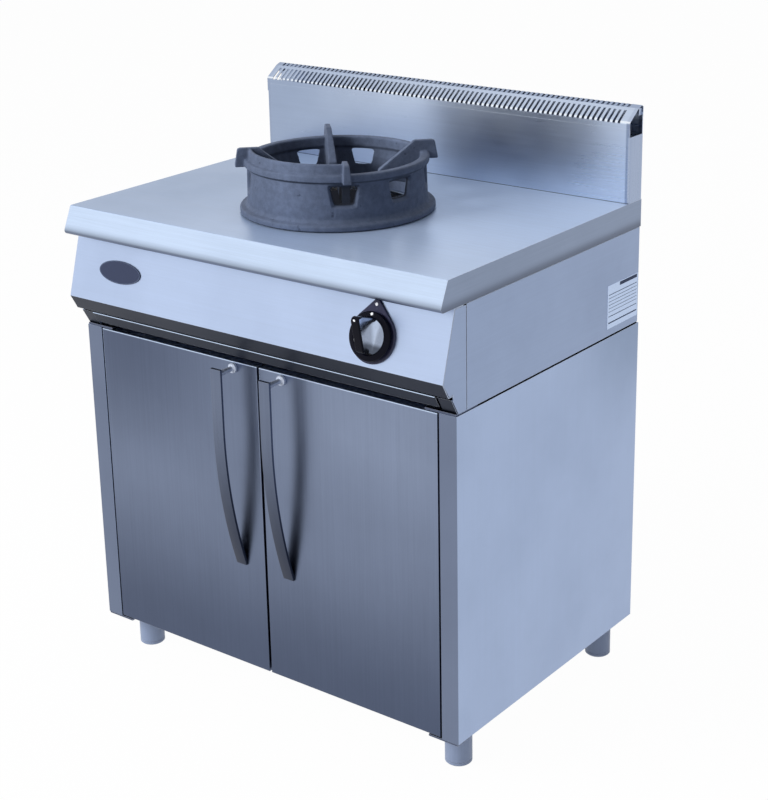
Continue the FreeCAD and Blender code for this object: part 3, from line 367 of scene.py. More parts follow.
class Weave:
    """Adds nodes to a tree."""

    def __init__(self, tree):
        self.tree = tree

    def feed(self, sockets, values):
        """Set each value on its socket, or link it where it is a socket itself."""
        for key, value in values.items():
            if isinstance(value, bpy.types.NodeSocket):
                self.tree.links.new(value, sockets[key])
            else:
                sockets[key].default_value = value

    def add(self, kind, inputs=None, **settings):
        node = self.tree.nodes.new(kind)
        for name, value in settings.items():
            setattr(node, name, value)
        self.feed(node.inputs, inputs or {})
        return node

    def place(self):
        return self.add("ShaderNodeTexCoord").outputs["Object"]

    def normal(self):
        return self.add("ShaderNodeNewGeometry").outputs["True Normal"]

    def axes(self, vector):
        return self.add("ShaderNodeSeparateXYZ", {0: vector}).outputs

    def noise(self, place, scale, detail=3.0, roughness=0.55):
        inputs = {"Vector": place, "Scale": scale, "Detail": detail, "Roughness": roughness}
        return self.add("ShaderNodeTexNoise", inputs).outputs["Fac"]

    def remap(self, value, low, high, to_low=0.0, to_high=1.0, kind="LINEAR"):
        inputs = {"Value": value, "From Min": low, "From Max": high, "To Min": to_low,
                  "To Max": to_high}
        return self.add("ShaderNodeMapRange", inputs, interpolation_type=kind).outputs["Result"]

    def ramp(self, axis, low, high):
        """0 below low and 1 above high along one of the piece's axes, smooth between."""
        return self.remap(self.axes(self.place())[axis], low, high, kind="SMOOTHSTEP")

    def math(self, operation, *values):
        inputs = dict(enumerate(values))
        return self.add("ShaderNodeMath", inputs, operation=operation).outputs[0]

    def product(self, *values):
        return reduce(lambda one, two: self.math("MULTIPLY", one, two), values)

    def largest(self, *values):
        return reduce(lambda one, two: self.math("MAXIMUM", one, two), values)

    def blend(self, amount, first, second, kind="MIX"):
        inputs = {0: amount, 6: first, 7: second}
        return self.add("ShaderNodeMix", inputs, data_type="RGBA", blend_type=kind).outputs[2]

    def bump(self, strength, distance, height, **more):
        inputs = {"Strength": strength, "Distance": distance, "Height": height, **more}
        return self.add("ShaderNodeBump", inputs).outputs[0]


def effect(name, **given):
    """An empty node group with these inputs and first values: its weave and its inputs."""
    tree = bpy.data.node_groups.new(name, "ShaderNodeTree")
    for title, value in given.items():
        kind = "NodeSocketFloat" if isinstance(value, float) else "NodeSocketVector"
        tree.interface.new_socket(title, in_out="INPUT", socket_type=kind).default_value = value
    weave = Weave(tree)
    return weave, weave.add("NodeGroupInput").outputs


def give_out(weave, **sockets):
    """Close a group with an output for each of these: Normal is a vector, the rest masks."""
    for title in sockets:
        kind = "NodeSocketVector" if title == "Normal" else "NodeSocketFloat"
        weave.tree.interface.new_socket(title, in_out="OUTPUT", socket_type=kind)
    weave.feed(weave.add("NodeGroupOutput").inputs, sockets)


def use(weave, group, **values):
    """Place a node group in a material, with its own values."""
    return weave.add("ShaderNodeGroup", values, node_tree=bpy.data.node_groups[group]).outputs


def grain_effect():
    """Brushed sheet: fine drawn lines, faint smudges, and softened edges, whose Rim mask carries a
    painted highlight.
    """
    weave, given = effect("Sheet grain", Stretch=(900.0, 900.0, 9.0), Side=(900.0, 12.0, 900.0),
                          Relief=0.2, Edge=0.0008)
    place, plain = weave.place(), weave.normal()
    sideways = weave.math("GREATER_THAN", weave.math("ABSOLUTE", weave.axes(plain)["X"]), 0.8)
    stretch = weave.add("ShaderNodeMix", {0: sideways, 4: given["Stretch"], 5: given["Side"]},
                        data_type="VECTOR").outputs[1]
    drawn = weave.add("ShaderNodeMapping", {"Vector": place, "Scale": stretch}).outputs[0]
    fine = weave.noise(drawn, 1.0, 4.0, 0.7)
    broad = weave.noise(drawn, 0.22, 2.0, 0.5)
    line = weave.math("ADD", weave.product(fine, 0.6), weave.product(broad, 0.4))
    soft = weave.add("ShaderNodeBevel", {"Radius": given["Edge"]}, samples=4).outputs[0]
    apart = weave.add("ShaderNodeVectorMath", {0: soft, 1: plain}, operation="DOT_PRODUCT")
    give_out(weave, Line=line, Smudge=weave.noise(place, 5.0, 4.0, 0.6),
             Rim=weave.remap(apart.outputs["Value"], 0.995, 0.85),
             Normal=weave.bump(given["Relief"], 0.00006, line, Normal=soft))


def facing_effect():
    """Masks of the ways a face looks, by which the finishes paint light and shade.

    Under is full from a little below level, Bend between the front and the upward slopes.
    """
    weave = effect("Facing")[0]
    parts = weave.axes(weave.normal())
    give_out(weave, Front=weave.remap(parts["Y"], -0.35, -0.80),
             Top=weave.remap(parts["Z"], 0.55, 0.90),
             Down=weave.remap(parts["Z"], -0.10, -0.50),
             Under=weave.remap(parts["Z"], 0.16, -0.26),
             Bend=weave.product(weave.remap(parts["Z"], 0.12, 0.42),
                                weave.remap(parts["Z"], 0.80, 0.66)))


def casting_effect():
    """Sand casting: coarse skin, fine sand and a few small pits."""
    weave, given = effect("Sand skin", Sand=1100.0, Relief=0.8)
    place = weave.place()
    sand = weave.noise(place, given["Sand"], 3.0, 0.7)
    skin = weave.noise(place, 170.0, 5.0, 0.62)
    pit = weave.remap(weave.noise(place, 95.0, 2.0, 0.4), 0.30, 0.22)
    rise = weave.math("ADD", weave.product(sand, 0.4), weave.product(skin, 0.9))
    height = weave.math("SUBTRACT", rise, weave.product(pit, 0.4))
    give_out(weave, Sand=sand, Patch=weave.noise(place, 85.0, 5.0, 0.62), Pit=pit,
             Normal=weave.bump(given["Relief"], 0.0010, height))


def new_material(name):
    """A material with a bare Principled shader, and the weave of its tree."""
    material = bpy.data.materials.new(name)
    material.use_nodes = True
    shader = material.node_tree.nodes["Principled BSDF"]
    return material, shader, Weave(material.node_tree)


def shade(colour, factor):
    """A colour made darker or lighter, its alpha kept."""
    return (*(min(1.0, part * factor) for part in colour[:3]), 1.0)


def grey(level):
    return (level, level, level, 1.0)


def sheet_steel(name, colour, stretch, roughness, relief=0.08, edge=0.0008, layers=(),
                side_stretch=None, metal=1.0, streaks=0.05):
    """Brushed stainless sheet.

    Stretch is the grain's fineness along X, Y and Z, and side_stretch that of the side faces.
    Each layer is the function that makes its mask, and its colour. Metal is the metallic
    share, or the function of it.
    """
    material, shader, weave = new_material(name)
    grain = use(weave, "Sheet grain", Stretch=stretch, Side=side_stretch or stretch,
                Relief=relief, Edge=edge)
    base = colour
    for mask, over in layers:
        base = weave.blend(mask(weave), base, over)
    streak = weave.blend(weave.remap(grain["Line"], 0.36, 0.64), grey(1.0 - streaks),
                         grey(1.0 + streaks))
    lined = weave.blend(1.0, base, streak, "MULTIPLY")
    smudged = weave.blend(1.0, lined, grey(0.84), "MULTIPLY")
    marked = weave.blend(weave.remap(grain["Smudge"], 0.40, 0.66, 0.0, 0.3), lined, smudged)
    lines = weave.remap(grain["Line"], 0.3, 0.7, roughness - 0.03, roughness + 0.03)
    marks = weave.remap(grain["Smudge"], 0.4, 0.65, -0.02, 0.03)
    # Base Color: the layers, grain and smudges, with a painted highlight along the edges where Rim
    # is full.
    weave.feed(shader.inputs, {
        "Base Color": weave.blend(weave.product(grain["Rim"], 0.45), marked, EDGE_HIGHLIGHT),
        "Roughness": weave.math("ADD", lines, marks), "Normal": grain["Normal"],
        "Metallic": metal(weave) if callable(metal) else metal})
    return material


def cast_iron(name, colour, dark, hollow=None):
    """Matt sand casting, mottled, darker in its pits, with painted shade where the hollow function
    says.
    """
    material, shader, weave = new_material(name)
    skin = use(weave, "Sand skin")
    base = weave.blend(weave.remap(skin["Patch"], 0.38, 0.62), shade(colour, 0.86),
                       shade(colour, 1.10))
    sandy = weave.blend(weave.remap(skin["Sand"], 0.48, 0.72, 0.0, 0.45), base, shade(colour, 1.6))
    tone = weave.blend(weave.product(skin["Pit"], 0.5), sandy, dark)
    if hollow:
        tone = weave.blend(hollow(weave), tone, weave.blend(1.0, tone, grey(0.16), "MULTIPLY"))
    weave.feed(shader.inputs, {
        "Base Color": tone, "Roughness": weave.remap(skin["Sand"], 0.3, 0.7, 0.58, 0.78),
        "Normal": skin["Normal"], "Specular IOR Level": 0.25})
    return material


def moulded(name, colour, roughness, gloss=0.3):
    """Moulding or enamel with a faint orange peel and dust."""
    material, shader, weave = new_material(name)
    place = weave.place()
    peel = weave.noise(place, 420.0, 2.0)
    dust = weave.noise(place, 90.0, 4.0, 0.7)
    weave.feed(shader.inputs, {
        "Base Color": weave.blend(weave.remap(dust, 0.55, 0.75, 0.0, 0.2), colour,
                                  shade(colour, 1.8)),
        "Roughness": weave.remap(dust, 0.4, 0.7, roughness, roughness + 0.10),
        "Normal": weave.bump(0.06, 0.0002, peel), "Specular IOR Level": gloss})
    return material


def bright_metal(name, colour, roughness, shadow=None, depth=0.75, metal=1.0):
    """Plated or machined metal with faint specks, painted darker where the shadow function says."""
    material, shader, weave = new_material(name)
    speck = weave.noise(weave.place(), 260.0, 4.0, 0.7)
    tone = weave.blend(weave.remap(speck, 0.5, 0.75, 0.0, 0.4), colour, shade(colour, 0.8))
    if shadow:
        tone = weave.blend(weave.product(shadow(weave), depth), tone, DEEP_SHADOW)
    weave.feed(shader.inputs, {
        "Base Color": tone,
        "Roughness": weave.remap(speck, 0.35, 0.7, roughness, roughness + 0.08),
        "Normal": weave.bump(0.04, 0.0001, speck), "Metallic": metal})
    return material


# ---------------------------------------------------------------- finishes of the frame's nodes

GRAIN_X = (12.0, 1100.0, 1100.0)
GRAIN_Y = (1100.0, 12.0, 1100.0)
GRAIN_Z = (1100.0, 1100.0, 12.0)
EDGE_HIGHLIGHT = (0.80, 0.86, 0.95, 1.0)
BEND_HIGHLIGHT = (0.86, 0.92, 1.0, 1.0)
MARK_WHITE = (0.94, 0.95, 0.98, 1.0)
DEEP_SHADOW = (0.03, 0.035, 0.05, 1.0)

def pair(part):
    return ["left_" + part, "right_" + part]


FEET = [f"levelling_foot_{end}_{side}" for end in ("front", "rear") for side in ("left", "right")]
NODE_FINISH = {
    "fascia": ["control_panel"],
    "worktop": ["worktop"],
    "side": ["cabinet_left_side", "cabinet_right_side", "cabinet_back", "module_back",
             *pair("front_corner")],
    "module": ["module_left_side", "module_right_side", *pair("cheek")],
    "door": pair("door_pan"),
    "flue": ["flue_front", "flue_back"],
    "cap": ["flue_grille"],
    "hidden": ["cabinet_floor", "cabinet_top_rail", "hinge_brackets", "module_base",
               "tray_runners", *pair("door_liner")],
    "soot": ["burner_bowl", "burner_strap"],
    "tray": ["spill_tray"],
    "handle": pair("handle_bar"),
    "post": pair("handle_post"),
    "foot": ["foot_sockets", *FEET],
    "casting": ["wok_ring"],
    "iron": ["burner_body", "burner_crown", "mixing_tube"],
    "brass": ["burner_cap", "pilot_burner", "thermocouple", "injector", "gas_tap", "gas_inlet",
              "knob_spindle", "spindle_collar"],
    "pipe": ["burner_pipe", "gas_feed_pipe", "air_shutter", "back_screws", *pair("door_pins")],
    "black": ["knob_bezel", "control_knob", "magnetic_catches"],
    "chrome": ["knob_insert"],
    "badge": ["badge_plate"],
}


def looking(way):
    """The mask of the faces that look this way."""
    return lambda weave: use(weave, "Facing")[way]


def across(start, end):
    """The mask that grows along X from start to end."""
    return lambda weave: weave.ramp("X", start, end)


def both(first, second):
    return lambda weave: weave.product(first(weave), second(weave))


def door_sheen(weave):
    """Painted sheen: full across the middle, and up to the top on the right."""
    right = weave.math("SUBTRACT", weave.ramp("X", -0.30, 0.24), 0.55)
    upper = weave.product(weave.ramp("Z", 0.36, 0.64), right)
    return weave.math("ADD", weave.product(weave.ramp("Z", 0.08, 0.42), 0.66), upper)


def door_edges(weave):
    """Painted highlight on the folded edges of the doors: all of the top, and the left ones higher
    up.
    """
    parts = weave.axes(weave.place())
    low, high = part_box("left_door_pan")
    sides = []
    for edge in (low.x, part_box("right_door_pan")[0].x):
        off = weave.math("ABSOLUTE", weave.math("SUBTRACT", parts["X"], edge))
        sides.append(weave.remap(off, 0.0018, 0.0010, 0.0, 0.55))
    top = weave.remap(parts["Z"], high.z - 0.0024, high.z - 0.0014, 0.0, 0.9)
    return weave.largest(top, weave.product(weave.largest(*sides), weave.ramp("Z", 0.35, 0.60)))


def rear_top(weave):
    return weave.product(weave.ramp("Y", 0.0, 0.3), weave.ramp("Z", 0.45, 0.66))


# Painted shade: the handles are lighter on their upper part and darker lower down.
def handle_sheen(weave):
    return weave.ramp("Z", 0.28, 0.62)


def near_doors(weave):
    return weave.ramp("Y", DOOR_PLANE + 0.05, DOOR_PLANE + 0.04)


def nose_foot(weave):
    """Painted shade: the rolled lower edge of the worktop's front turns dark softly."""
    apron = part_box("worktop")[0].z
    low = weave.ramp("Z", apron + 0.024, apron + 0.002)
    return weave.product(low, low, 0.7)


def worktop_metal(weave):
    """Scoured, so duller, on the flat top."""
    return weave.remap(looking("Top")(weave), 0.0, 1.0, 1.0, 0.35)


def end_bend(weave):
    """The bends at the two ends of the upstand."""
    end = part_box("flue_front")[1].x
    out = weave.math("ABSOLUTE", weave.axes(weave.place())["X"])
    return weave.remap(out, end - 0.0090, end - 0.0065, 0.0, 0.9)


def dish_shade(weave):
    """Painted reflection: the lower half of the dish shows the dark below."""
    return weave.ramp("Z", KNOB_CENTRE.z - 0.004, KNOB_CENTRE.z - 0.012)


def flank_shade(weave):
    """Painted shade in the hollow of the cheek, between its foot and its crest."""
    level = KNOB_CENTRE.y
    return weave.product(weave.ramp("Y", level - 0.010, level - 0.020),
                         weave.ramp("Y", level - 0.044, level - 0.034))


def recess(weave):
    """Painted shade: the sides of the windows, the web behind the front one, the faces turned down,
    and the two ends a little.
    """
    sizes = bpy.context.scene.wok_ring
    middle = (RING_LOW + RING_HIGH) / 2
    axis = (middle.x, middle.y, 0.0)
    flat = weave.add("ShaderNodeVectorMath", {0: weave.place(), 1: (1.0, 1.0, 0.0)},
                     operation="MULTIPLY").outputs[0]
    reach = weave.add("ShaderNodeVectorMath", {0: flat, 1: axis},
                      operation="DISTANCE").outputs["Value"]
    brow = RING_LOW.z + sizes.rim_low
    low = weave.ramp("Z", brow + 0.001, brow - 0.006)
    within = weave.remap(reach, sizes.wall - 0.0030, sizes.wall - 0.0065)
    in_front = weave.ramp("Y", middle.y - 0.060, middle.y - 0.085)
    jamb = weave.largest(in_front, weave.remap(reach, sizes.bore + 0.0005, sizes.bore + 0.0015))
    left = weave.product(weave.ramp("X", middle.x + 0.04, middle.x - 0.06), 0.32)
    right = weave.product(weave.ramp("X", middle.x - 0.02, middle.x + 0.15), 0.36)
    overhang = weave.product(looking("Down")(weave), 0.8)
    return weave.largest(weave.product(low, within, jamb), left, right, overhang)


def make_finishes(colours):
    """Every material of the range, by the name of its finish."""
    grain_effect()
    casting_effect()
    facing_effect()
    front, top = looking("Front"), looking("Top")
    splash = (front, colours.splash)
    splash_left = (both(front, across(0.10, -0.36)), colours.splash_dark)
    down = (looking("Down"), colours.shadow)
    return {
        # Fascia: painted shade on the faces turned down under the panel.
        "fascia": sheet_steel("fascia_steel", colours.fascia, GRAIN_X, 0.36, streaks=0.025,
                              layers=[(looking("Under"), colours.shadow)]),
        # Worktop: painted light and shade by facing, sides darker and front brightest, with painted
        # shade on the nose's foot and on the underside.
        "worktop": sheet_steel(
            "worktop_steel", colours.skirt, GRAIN_X, 0.32, relief=0.04, side_stretch=GRAIN_Y,
            metal=worktop_metal, layers=[
                (top, colours.worktop), (both(top, across(0.25, -0.36)), colours.worktop_dark),
                (front, colours.nose), (nose_foot, colours.shadow),
                (looking("Under"), colours.handle_light)]),
        # Sides: front faces painted darker than the sides, a painted highlight on tops near the
        # doors, painted shade on faces turned down.
        "side": sheet_steel("side_steel", colours.side, GRAIN_Z, 0.36, streaks=0.02, layers=[
            (rear_top, colours.side_dark), (front, colours.stile),
            (both(top, near_doors), colours.nose), down]),
        # Module: painted shade on faces turned down.
        "module": sheet_steel("module_steel", colours.module, GRAIN_Y, 0.36, streaks=0.03,
                              layers=[down]),
        # Doors: darker where the painted sheen is absent, with a painted highlight on the tops and
        # folded edges.
        "door": sheet_steel("door_steel", colours.door_dark, GRAIN_Z, 0.32, layers=[
            (door_sheen, colours.door_light), (top, colours.nose), (door_edges, colours.nose)]),
        # Upstand and cap: fronts painted brighter than the ends, back and slopes, the end bends
        # kept in the plain tone, and a painted highlight on the cap's bend.
        "flue": sheet_steel("flue_steel", colours.flue, GRAIN_X, 0.30, relief=0.015, streaks=0.03,
                            side_stretch=GRAIN_Z,
                            layers=[splash, splash_left, (end_bend, colours.flue)]),
        "cap": sheet_steel("cap_steel", colours.cap, GRAIN_X, 0.30, edge=0.0004, layers=[
            splash, splash_left, (both(front, end_bend), colours.flue),
            (looking("Bend"), BEND_HIGHLIGHT)]),
        "hidden": sheet_steel("inner_steel", colours.hidden, GRAIN_Y, 0.40),
        # Tray: tops painted lighter, fronts painted shade.
        "tray": sheet_steel("tray_steel", colours.hidden, GRAIN_X, 0.40, layers=[
            (top, colours.cap), (front, colours.shadow)]),
        # Handles: painted shade, darker towards the bottom.
        "handle": sheet_steel("handle_steel", colours.handle_dark, GRAIN_Z, 0.30, edge=0.0005,
                              layers=[(handle_sheen, colours.handle_light)]),
        "post": bright_metal("post_steel", colours.chrome, 0.35, metal=0.6),
        "soot": sheet_steel("sooted_steel", colours.soot, GRAIN_Y, 0.55),
        "foot": sheet_steel("foot_steel", colours.foot, GRAIN_Z, 0.45, relief=0.05, metal=0.3),
        "pipe": bright_metal("drawn_tube", colours.handle_light, 0.3),
        "casting": cast_iron("ring_casting", colours.iron, colours.iron_dark, recess),
        "iron": cast_iron("burner_casting", colours.iron, colours.iron_dark),
        "black": moulded("black_moulding", colours.black, 0.22, 0.09),
        "chrome": bright_metal("chrome_dish", colours.dish, 0.08, dish_shade),
        "flank": bright_metal("chrome_flank", colours.flank, 0.12, flank_shade, 0.40),
        "plate": moulded("plate_moulding", colours.plate, 0.25, 0.25),
        # Tray lip: its bright colour is a painted highlight.
        "line": bright_metal("lip_highlight", colours.nose, 0.2),
        "badge": moulded("badge_enamel", colours.badge, 0.30),
        "badge_rim": bright_metal("badge_rim", colours.badge_rim, 0.25),
        "brass": bright_metal("machined_brass", colours.brass, 0.28),
        "label": bright_metal("label_foil", colours.label, 0.5),
        "rule": moulded("label_rule", colours.rule, 0.5, 0.1),
        # Painted shade line: the dark bead where the upstand meets the worktop.
        "sealant": moulded("sealant", colours.shadow, 0.5, 0.2),
        "mark": moulded("white_mark", MARK_WHITE, 0.3),
    }


class RANGE_OT_finishes(bpy.types.Operator):
    """Make every finish and give it to the nodes of the frame"""

    bl_idname = "wok_range.finishes"
    bl_label = "Finishes of the frame"

    def execute(self, context):
        FINISHES.update(make_finishes(context.scene.range_colours))
        for finish, nodes in NODE_FINISH.items():
            for node in nodes:
                for slot in frame["nodes"][node].material_slots:
                    slot.material = FINISHES[finish]
        return {"FINISHED"}


# ---------------------------------------------------------------- wok ring

def ring_wall(sizes):
    """The turned body: base flange, thin wall and rim band, as one closed outline."""
    foot, wall, bore, rim, high = sizes.foot, sizes.wall, sizes.bore, sizes.rim, sizes.rim_high
    flange, slope, ledge, brow, inside = 0.0105, 0.0128, 0.018, sizes.rim_low, rim - 0.015
    corners = [(bore - 0.001, 0.0), (foot, 0.0), (foot, flange), (wall + 0.0035, slope),
               (wall + 0.0003, ledge), (wall - 0.0005, brow - 0.002), (rim, brow + 0.0005),
               (rim, high), (inside, high), (inside, brow - 0.004), (bore, brow - 0.0095)]
    radii = [0.0, 0.003, 0.0040, 0.002, 0.004, 0.001, 0.002, 0.0035, 0.003, 0.002, 0.003]
    return turned(rounded_outline(corners, radii, 5), 160)


def ring_axes(angle):
    """The directions out of the ring and along it at an angle."""
    radial = Vector((math.cos(angle), math.sin(angle), 0.0))
    return radial, Vector((-radial.y, radial.x, 0.0))


def trapezoid(foot, head, sill, brow, radii):
    """A window's outline: foot and head are half its widths, sill and brow its heights."""
    corners = [(-foot, sill), (foot, sill), (head, brow), (-head, brow)]
    return rounded_outline(corners, radii, 4)


def window_block(sizes, angle):
    """The splayed window: a trapezoid that opens from its throat to its mouth."""
    low, high = sizes.window_low, sizes.window_high
    throat = trapezoid(0.012, 0.018, low + 0.003, high - 0.0035, [0.003, 0.003, 0.002, 0.002])
    mouth = trapezoid(0.0225, 0.0315, low - 0.0098, high + 0.0090, [0.004, 0.004, 0.003, 0.003])
    ends = ((throat, sizes.bore - 0.0045), (mouth, sizes.wall + 0.0025))
    faces = [np.column_stack([outline, np.full(len(outline), reach)]) for outline, reach in ends]
    radial, along = ring_axes(angle)
    return moved(capped(faces), axes_matrix(along, UP, radial, Vector()))


def fin_block(sizes, angle):
    """A fin: its side outline in radius and height, thinner towards the top."""
    reach, high, root = sizes.fin_reach, sizes.fin_high, sizes.bore + 0.001
    under, crest, tip, lean = sizes.rim_low - 0.001, 0.132, 0.070, 0.0055
    corners = [(root, 0.033), (root, under), (reach, under), (reach - lean, high),
               (crest, high), (tip, 0.062), (tip, 0.049)]
    outline = rounded_outline(corners, [0.0, 0.0, 0.002, 0.005, 0.003, 0.005, 0.004], 5)
    width = sizes.fin_thick * np.interp(outline[:, 1], [0.04, 0.08, high], [1.15, 1.1, 0.72])
    radial, along = ring_axes(angle)
    faces = [np.column_stack([outline, side * width]) for side in (-0.5, 0.5)]
    return moved(capped(faces), axes_matrix(radial, UP, -along, Vector()))


def guard_wall(sizes):
    """The raised quarter of the rim between the front and the left fin."""
    rim, low, high = sizes.rim, sizes.rim_high - 0.003, sizes.fin_high - 0.0015
    corners = [(rim - 0.0066, low), (rim - 0.0080, high), (rim - 0.0138, high),
               (rim - 0.0145, low)]
    outline = rounded_outline(corners, [0.0, 0.003, 0.003, 0.0], 5)
    return turned(outline, 48, sizes.facing - math.pi / 2, math.pi / 2)


def wok_ring(sizes):
    """The casting: wall, windows, fins and guard joined, then softened as a sand casting is."""
    ring = mesh_piece("wok_ring_casting", ring_wall(sizes))
    first = sizes.facing + sizes.window_lag
    for angle in first + np.linspace(0.0, sizes.window_arc, sizes.windows):
        combine(ring, mesh_piece("window_cutter", window_block(sizes, angle)), "DIFFERENCE")
    for quarter in range(4):
        angle = sizes.facing + quarter * math.pi / 2
        combine(ring, mesh_piece("fin", fin_block(sizes, angle)), "UNION")
    combine(ring, mesh_piece("guard", guard_wall(sizes)), "UNION")
    finish_with(ring, "REMESH", mode="VOXEL", voxel_size=sizes.grain, adaptivity=0.0)
    finish_with(ring, "SMOOTH", factor=0.5, iterations=2)
    finish_with(ring, "DECIMATE", ratio=0.35)
    centre = (RING_LOW + RING_HIGH) / 2
    ring.data.transform(Matrix.Translation((centre.x, centre.y, RING_LOW.z)))
    ring.data.shade_smooth()
    return ring


class RANGE_OT_wok_ring(bpy.types.Operator):
    """Build the cast wok ring"""

    bl_idname = "wok_range.wok_ring"
    bl_label = "Wok ring"

    def execute(self, context):
        ring = wok_ring(context.scene.wok_ring)
        wear(ring, FINISHES["casting"])
        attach(ring, "ring")
        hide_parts("wok_ring")
        return {"FINISHED"}


# ---------------------------------------------------------------- knob

# The sloping top of the grip, from its tail to its nose: up the panel, and out of the skirt.
GRIP_TAIL = (-0.0257, 0.0213)
GRIP_NOSE = (0.0309, 0.0500)
GRIP_SLOPE = (GRIP_NOSE[1] - GRIP_TAIL[1]) / (GRIP_NOSE[0] - GRIP_TAIL[0])


def grip_top(along):
    """Height of the grip's top above the skirt's underside, at a place along it."""
    return GRIP_TAIL[1] + GRIP_SLOPE * (along - GRIP_TAIL[0])


def panel_place(centre):
    """Axes that lie on the tilted panel: X across, Y up the panel, Z out of it."""
    return axes_matrix(ACROSS, KNOB_AXIS.cross(ACROSS), KNOB_AXIS, centre)


def knob_skirt(sizes):
    """Turned skirt: a low web and a broad flat rim, rounded at its outer edge."""
    outer, back, spindle = sizes.radius, sizes.back, 0.0041
    web, inner = back + 0.002, outer - 0.0101
    corners = [(spindle, back), (outer, back), (outer - 0.0003, back + 0.0032),
               (outer - 0.0088, back + 0.0048), (inner, back + 0.0038), (inner, web),
               (spindle, web)]
    radii = [0.0, 0.0010, 0.0022, 0.0008, 0.0006, 0.0, 0.0]
    return turned(rounded_outline(corners, radii, 10), 128)


def knob_grip(sizes):
    """Grip bar: its side outline thickened across, the edges drawn in by a quarter round."""
    back, half, edge = sizes.back, sizes.grip / 2, 0.0022
    corners = np.array([(-0.0270, back + 0.001), (0.0280, back + 0.001),
                        (GRIP_NOSE[0], back + GRIP_NOSE[1]), (GRIP_TAIL[0], back + GRIP_TAIL[1])])
    outline = rounded_outline(corners, [0.0, 0.0, 0.006, 0.007], 12)
    middle = outline.mean(axis=0)
    sweep = np.linspace(0.0, np.pi / 2, 7)
    inset = edge * (1.0 - np.cos(sweep))
    place = half - edge + edge * np.sin(sweep)
    across = np.concatenate([-place[::-1], place])
    inset = np.concatenate([inset[::-1], inset])
    reach = np.linalg.norm(outline - middle, axis=1)
    shrink = 1.0 - inset[:, None] / reach[None]
    flat = middle + (outline - middle)[None] * shrink[..., None]
    points = np.concatenate([np.broadcast_to(across[:, None, None], (*shrink.shape, 1)), flat],
                            axis=-1)
    return capped(points)


def dish_half(sizes, side):
    """Half of the bright insert: a shallow bowl beside the grip, with a rolled lip."""
    radius, base = sizes.dish, sizes.back + 0.002
    near = sizes.grip / 2 + 0.0002
    reach = math.sqrt(radius ** 2 - near ** 2) * 0.999
    along = np.linspace(-reach, reach, 41)[:, None]
    across = near + (np.sqrt(radius ** 2 - along ** 2) - near) * np.linspace(0.0, 1.0, 15)
    ratio = np.hypot(across, along) / radius
    height = base + 0.0007 + 0.0016 * ratio ** 3
    top = np.stack([side * across, np.broadcast_to(along, across.shape), height], axis=-1)
    bottom = top.copy()
    bottom[..., 2] = base
    return shell(top, bottom)


def flank(sizes, side):
    """Bright cheek on the grip: hollow, thick at its foot, its crest below the black top."""
    back, half = sizes.back, sizes.grip / 2
    along = np.linspace(-0.0250, 0.0296, 40)
    heel, toe = along[0], along[-1]
    foot = back + np.interp(along, [heel, 0.0264, toe], [0.0022, 0.0022, 0.0075])
    nose = back + np.interp(along, [0.0, 0.0268, toe], [0.05, 0.0435, 0.037])
    crest = np.minimum(back + grip_top(along) - 0.0036, nose)
    part = np.linspace(0.0, 1.0, 18)
    height = foot[:, None] + (crest - foot)[:, None] * part
    swell = 0.0034 * (1.0 - part) ** 2.0
    ends = np.clip(np.minimum(along - heel, toe - along) / 0.005, 0.0, 1.0) ** 0.5
    outer = half + 0.00015 + (0.0003 + swell) * ends[:, None]
    place = np.broadcast_to(along[:, None], outer.shape)
    return shell(*(np.stack([side * face, place, height], axis=-1)
                   for face in (outer, np.full_like(outer, half - 0.0012))))


def teardrop(sizes, shrink, count=72):
    """Outline of the plate drawn in by shrink: a round, two tangent sides and a rounded tip."""
    big, small, rise = sizes.plate - shrink, sizes.tip_radius - shrink, sizes.tip
    lean = math.asin((sizes.plate - sizes.tip_radius) / rise)
    lower = np.linspace(-math.pi - lean, lean, count)
    upper = np.linspace(lean, math.pi - lean, count // 3)
    round_part = np.stack([big * np.cos(lower), big * np.sin(lower)], axis=-1)
    tip_part = np.stack([small * np.cos(upper), rise + small * np.sin(upper)], axis=-1)
    return np.concatenate([round_part, tip_part])


def bezel_plate(sizes):
    """Plate with a rounded edge: the teardrop drawn in along a quarter round."""
    edge, thick = 0.0018, sizes.plate_thick
    sweep = np.linspace(0.0, np.pi / 2, 7)
    shrinks = np.concatenate([[0.0], edge * (1.0 - np.cos(sweep))])
    levels = np.concatenate([[0.0], thick - edge + edge * np.sin(sweep)])
    rings = np.stack([np.column_stack([teardrop(sizes, shrink), np.full(96, level)])
                      for shrink, level in zip(shrinks, levels)])
    middle = rings[-1] * 0.2
    middle[:, 2] = thick
    inner = middle.copy()
    inner[:, 2] = 0.0
    rings = np.concatenate([rings, middle[None], inner[None], rings[:1]])
    return [sheet_of(rings, closed_columns=True)]


def dot(radius, centre, lean=0.0, thick=0.0003):
    """A low domed dot on a surface, leaned back about X where the surface slopes."""
    ratio = np.linspace(1.0, 0.0, 6)
    profile = np.column_stack([radius * ratio, thick * np.sqrt(1.0 - 0.9 * ratio ** 2)])
    profile = np.concatenate([[(radius, -0.0002)], profile])
    place = Matrix.Translation(centre) @ Matrix.Rotation(lean, 4, "X")
    return moved(turned(profile, 24, closed=False), place)


def knob_marks(sizes):
    """The two white marks that turn with the knob: on the skirt's rim and on the grip."""
    rim = dot(sizes.mark, (0.0, sizes.radius - 0.0042, sizes.back + 0.0040), -0.14)
    along = 0.0238
    centre = (0.0, along, sizes.back + grip_top(along))
    return rim + dot(sizes.mark * 0.85, centre, math.atan(GRIP_SLOPE))


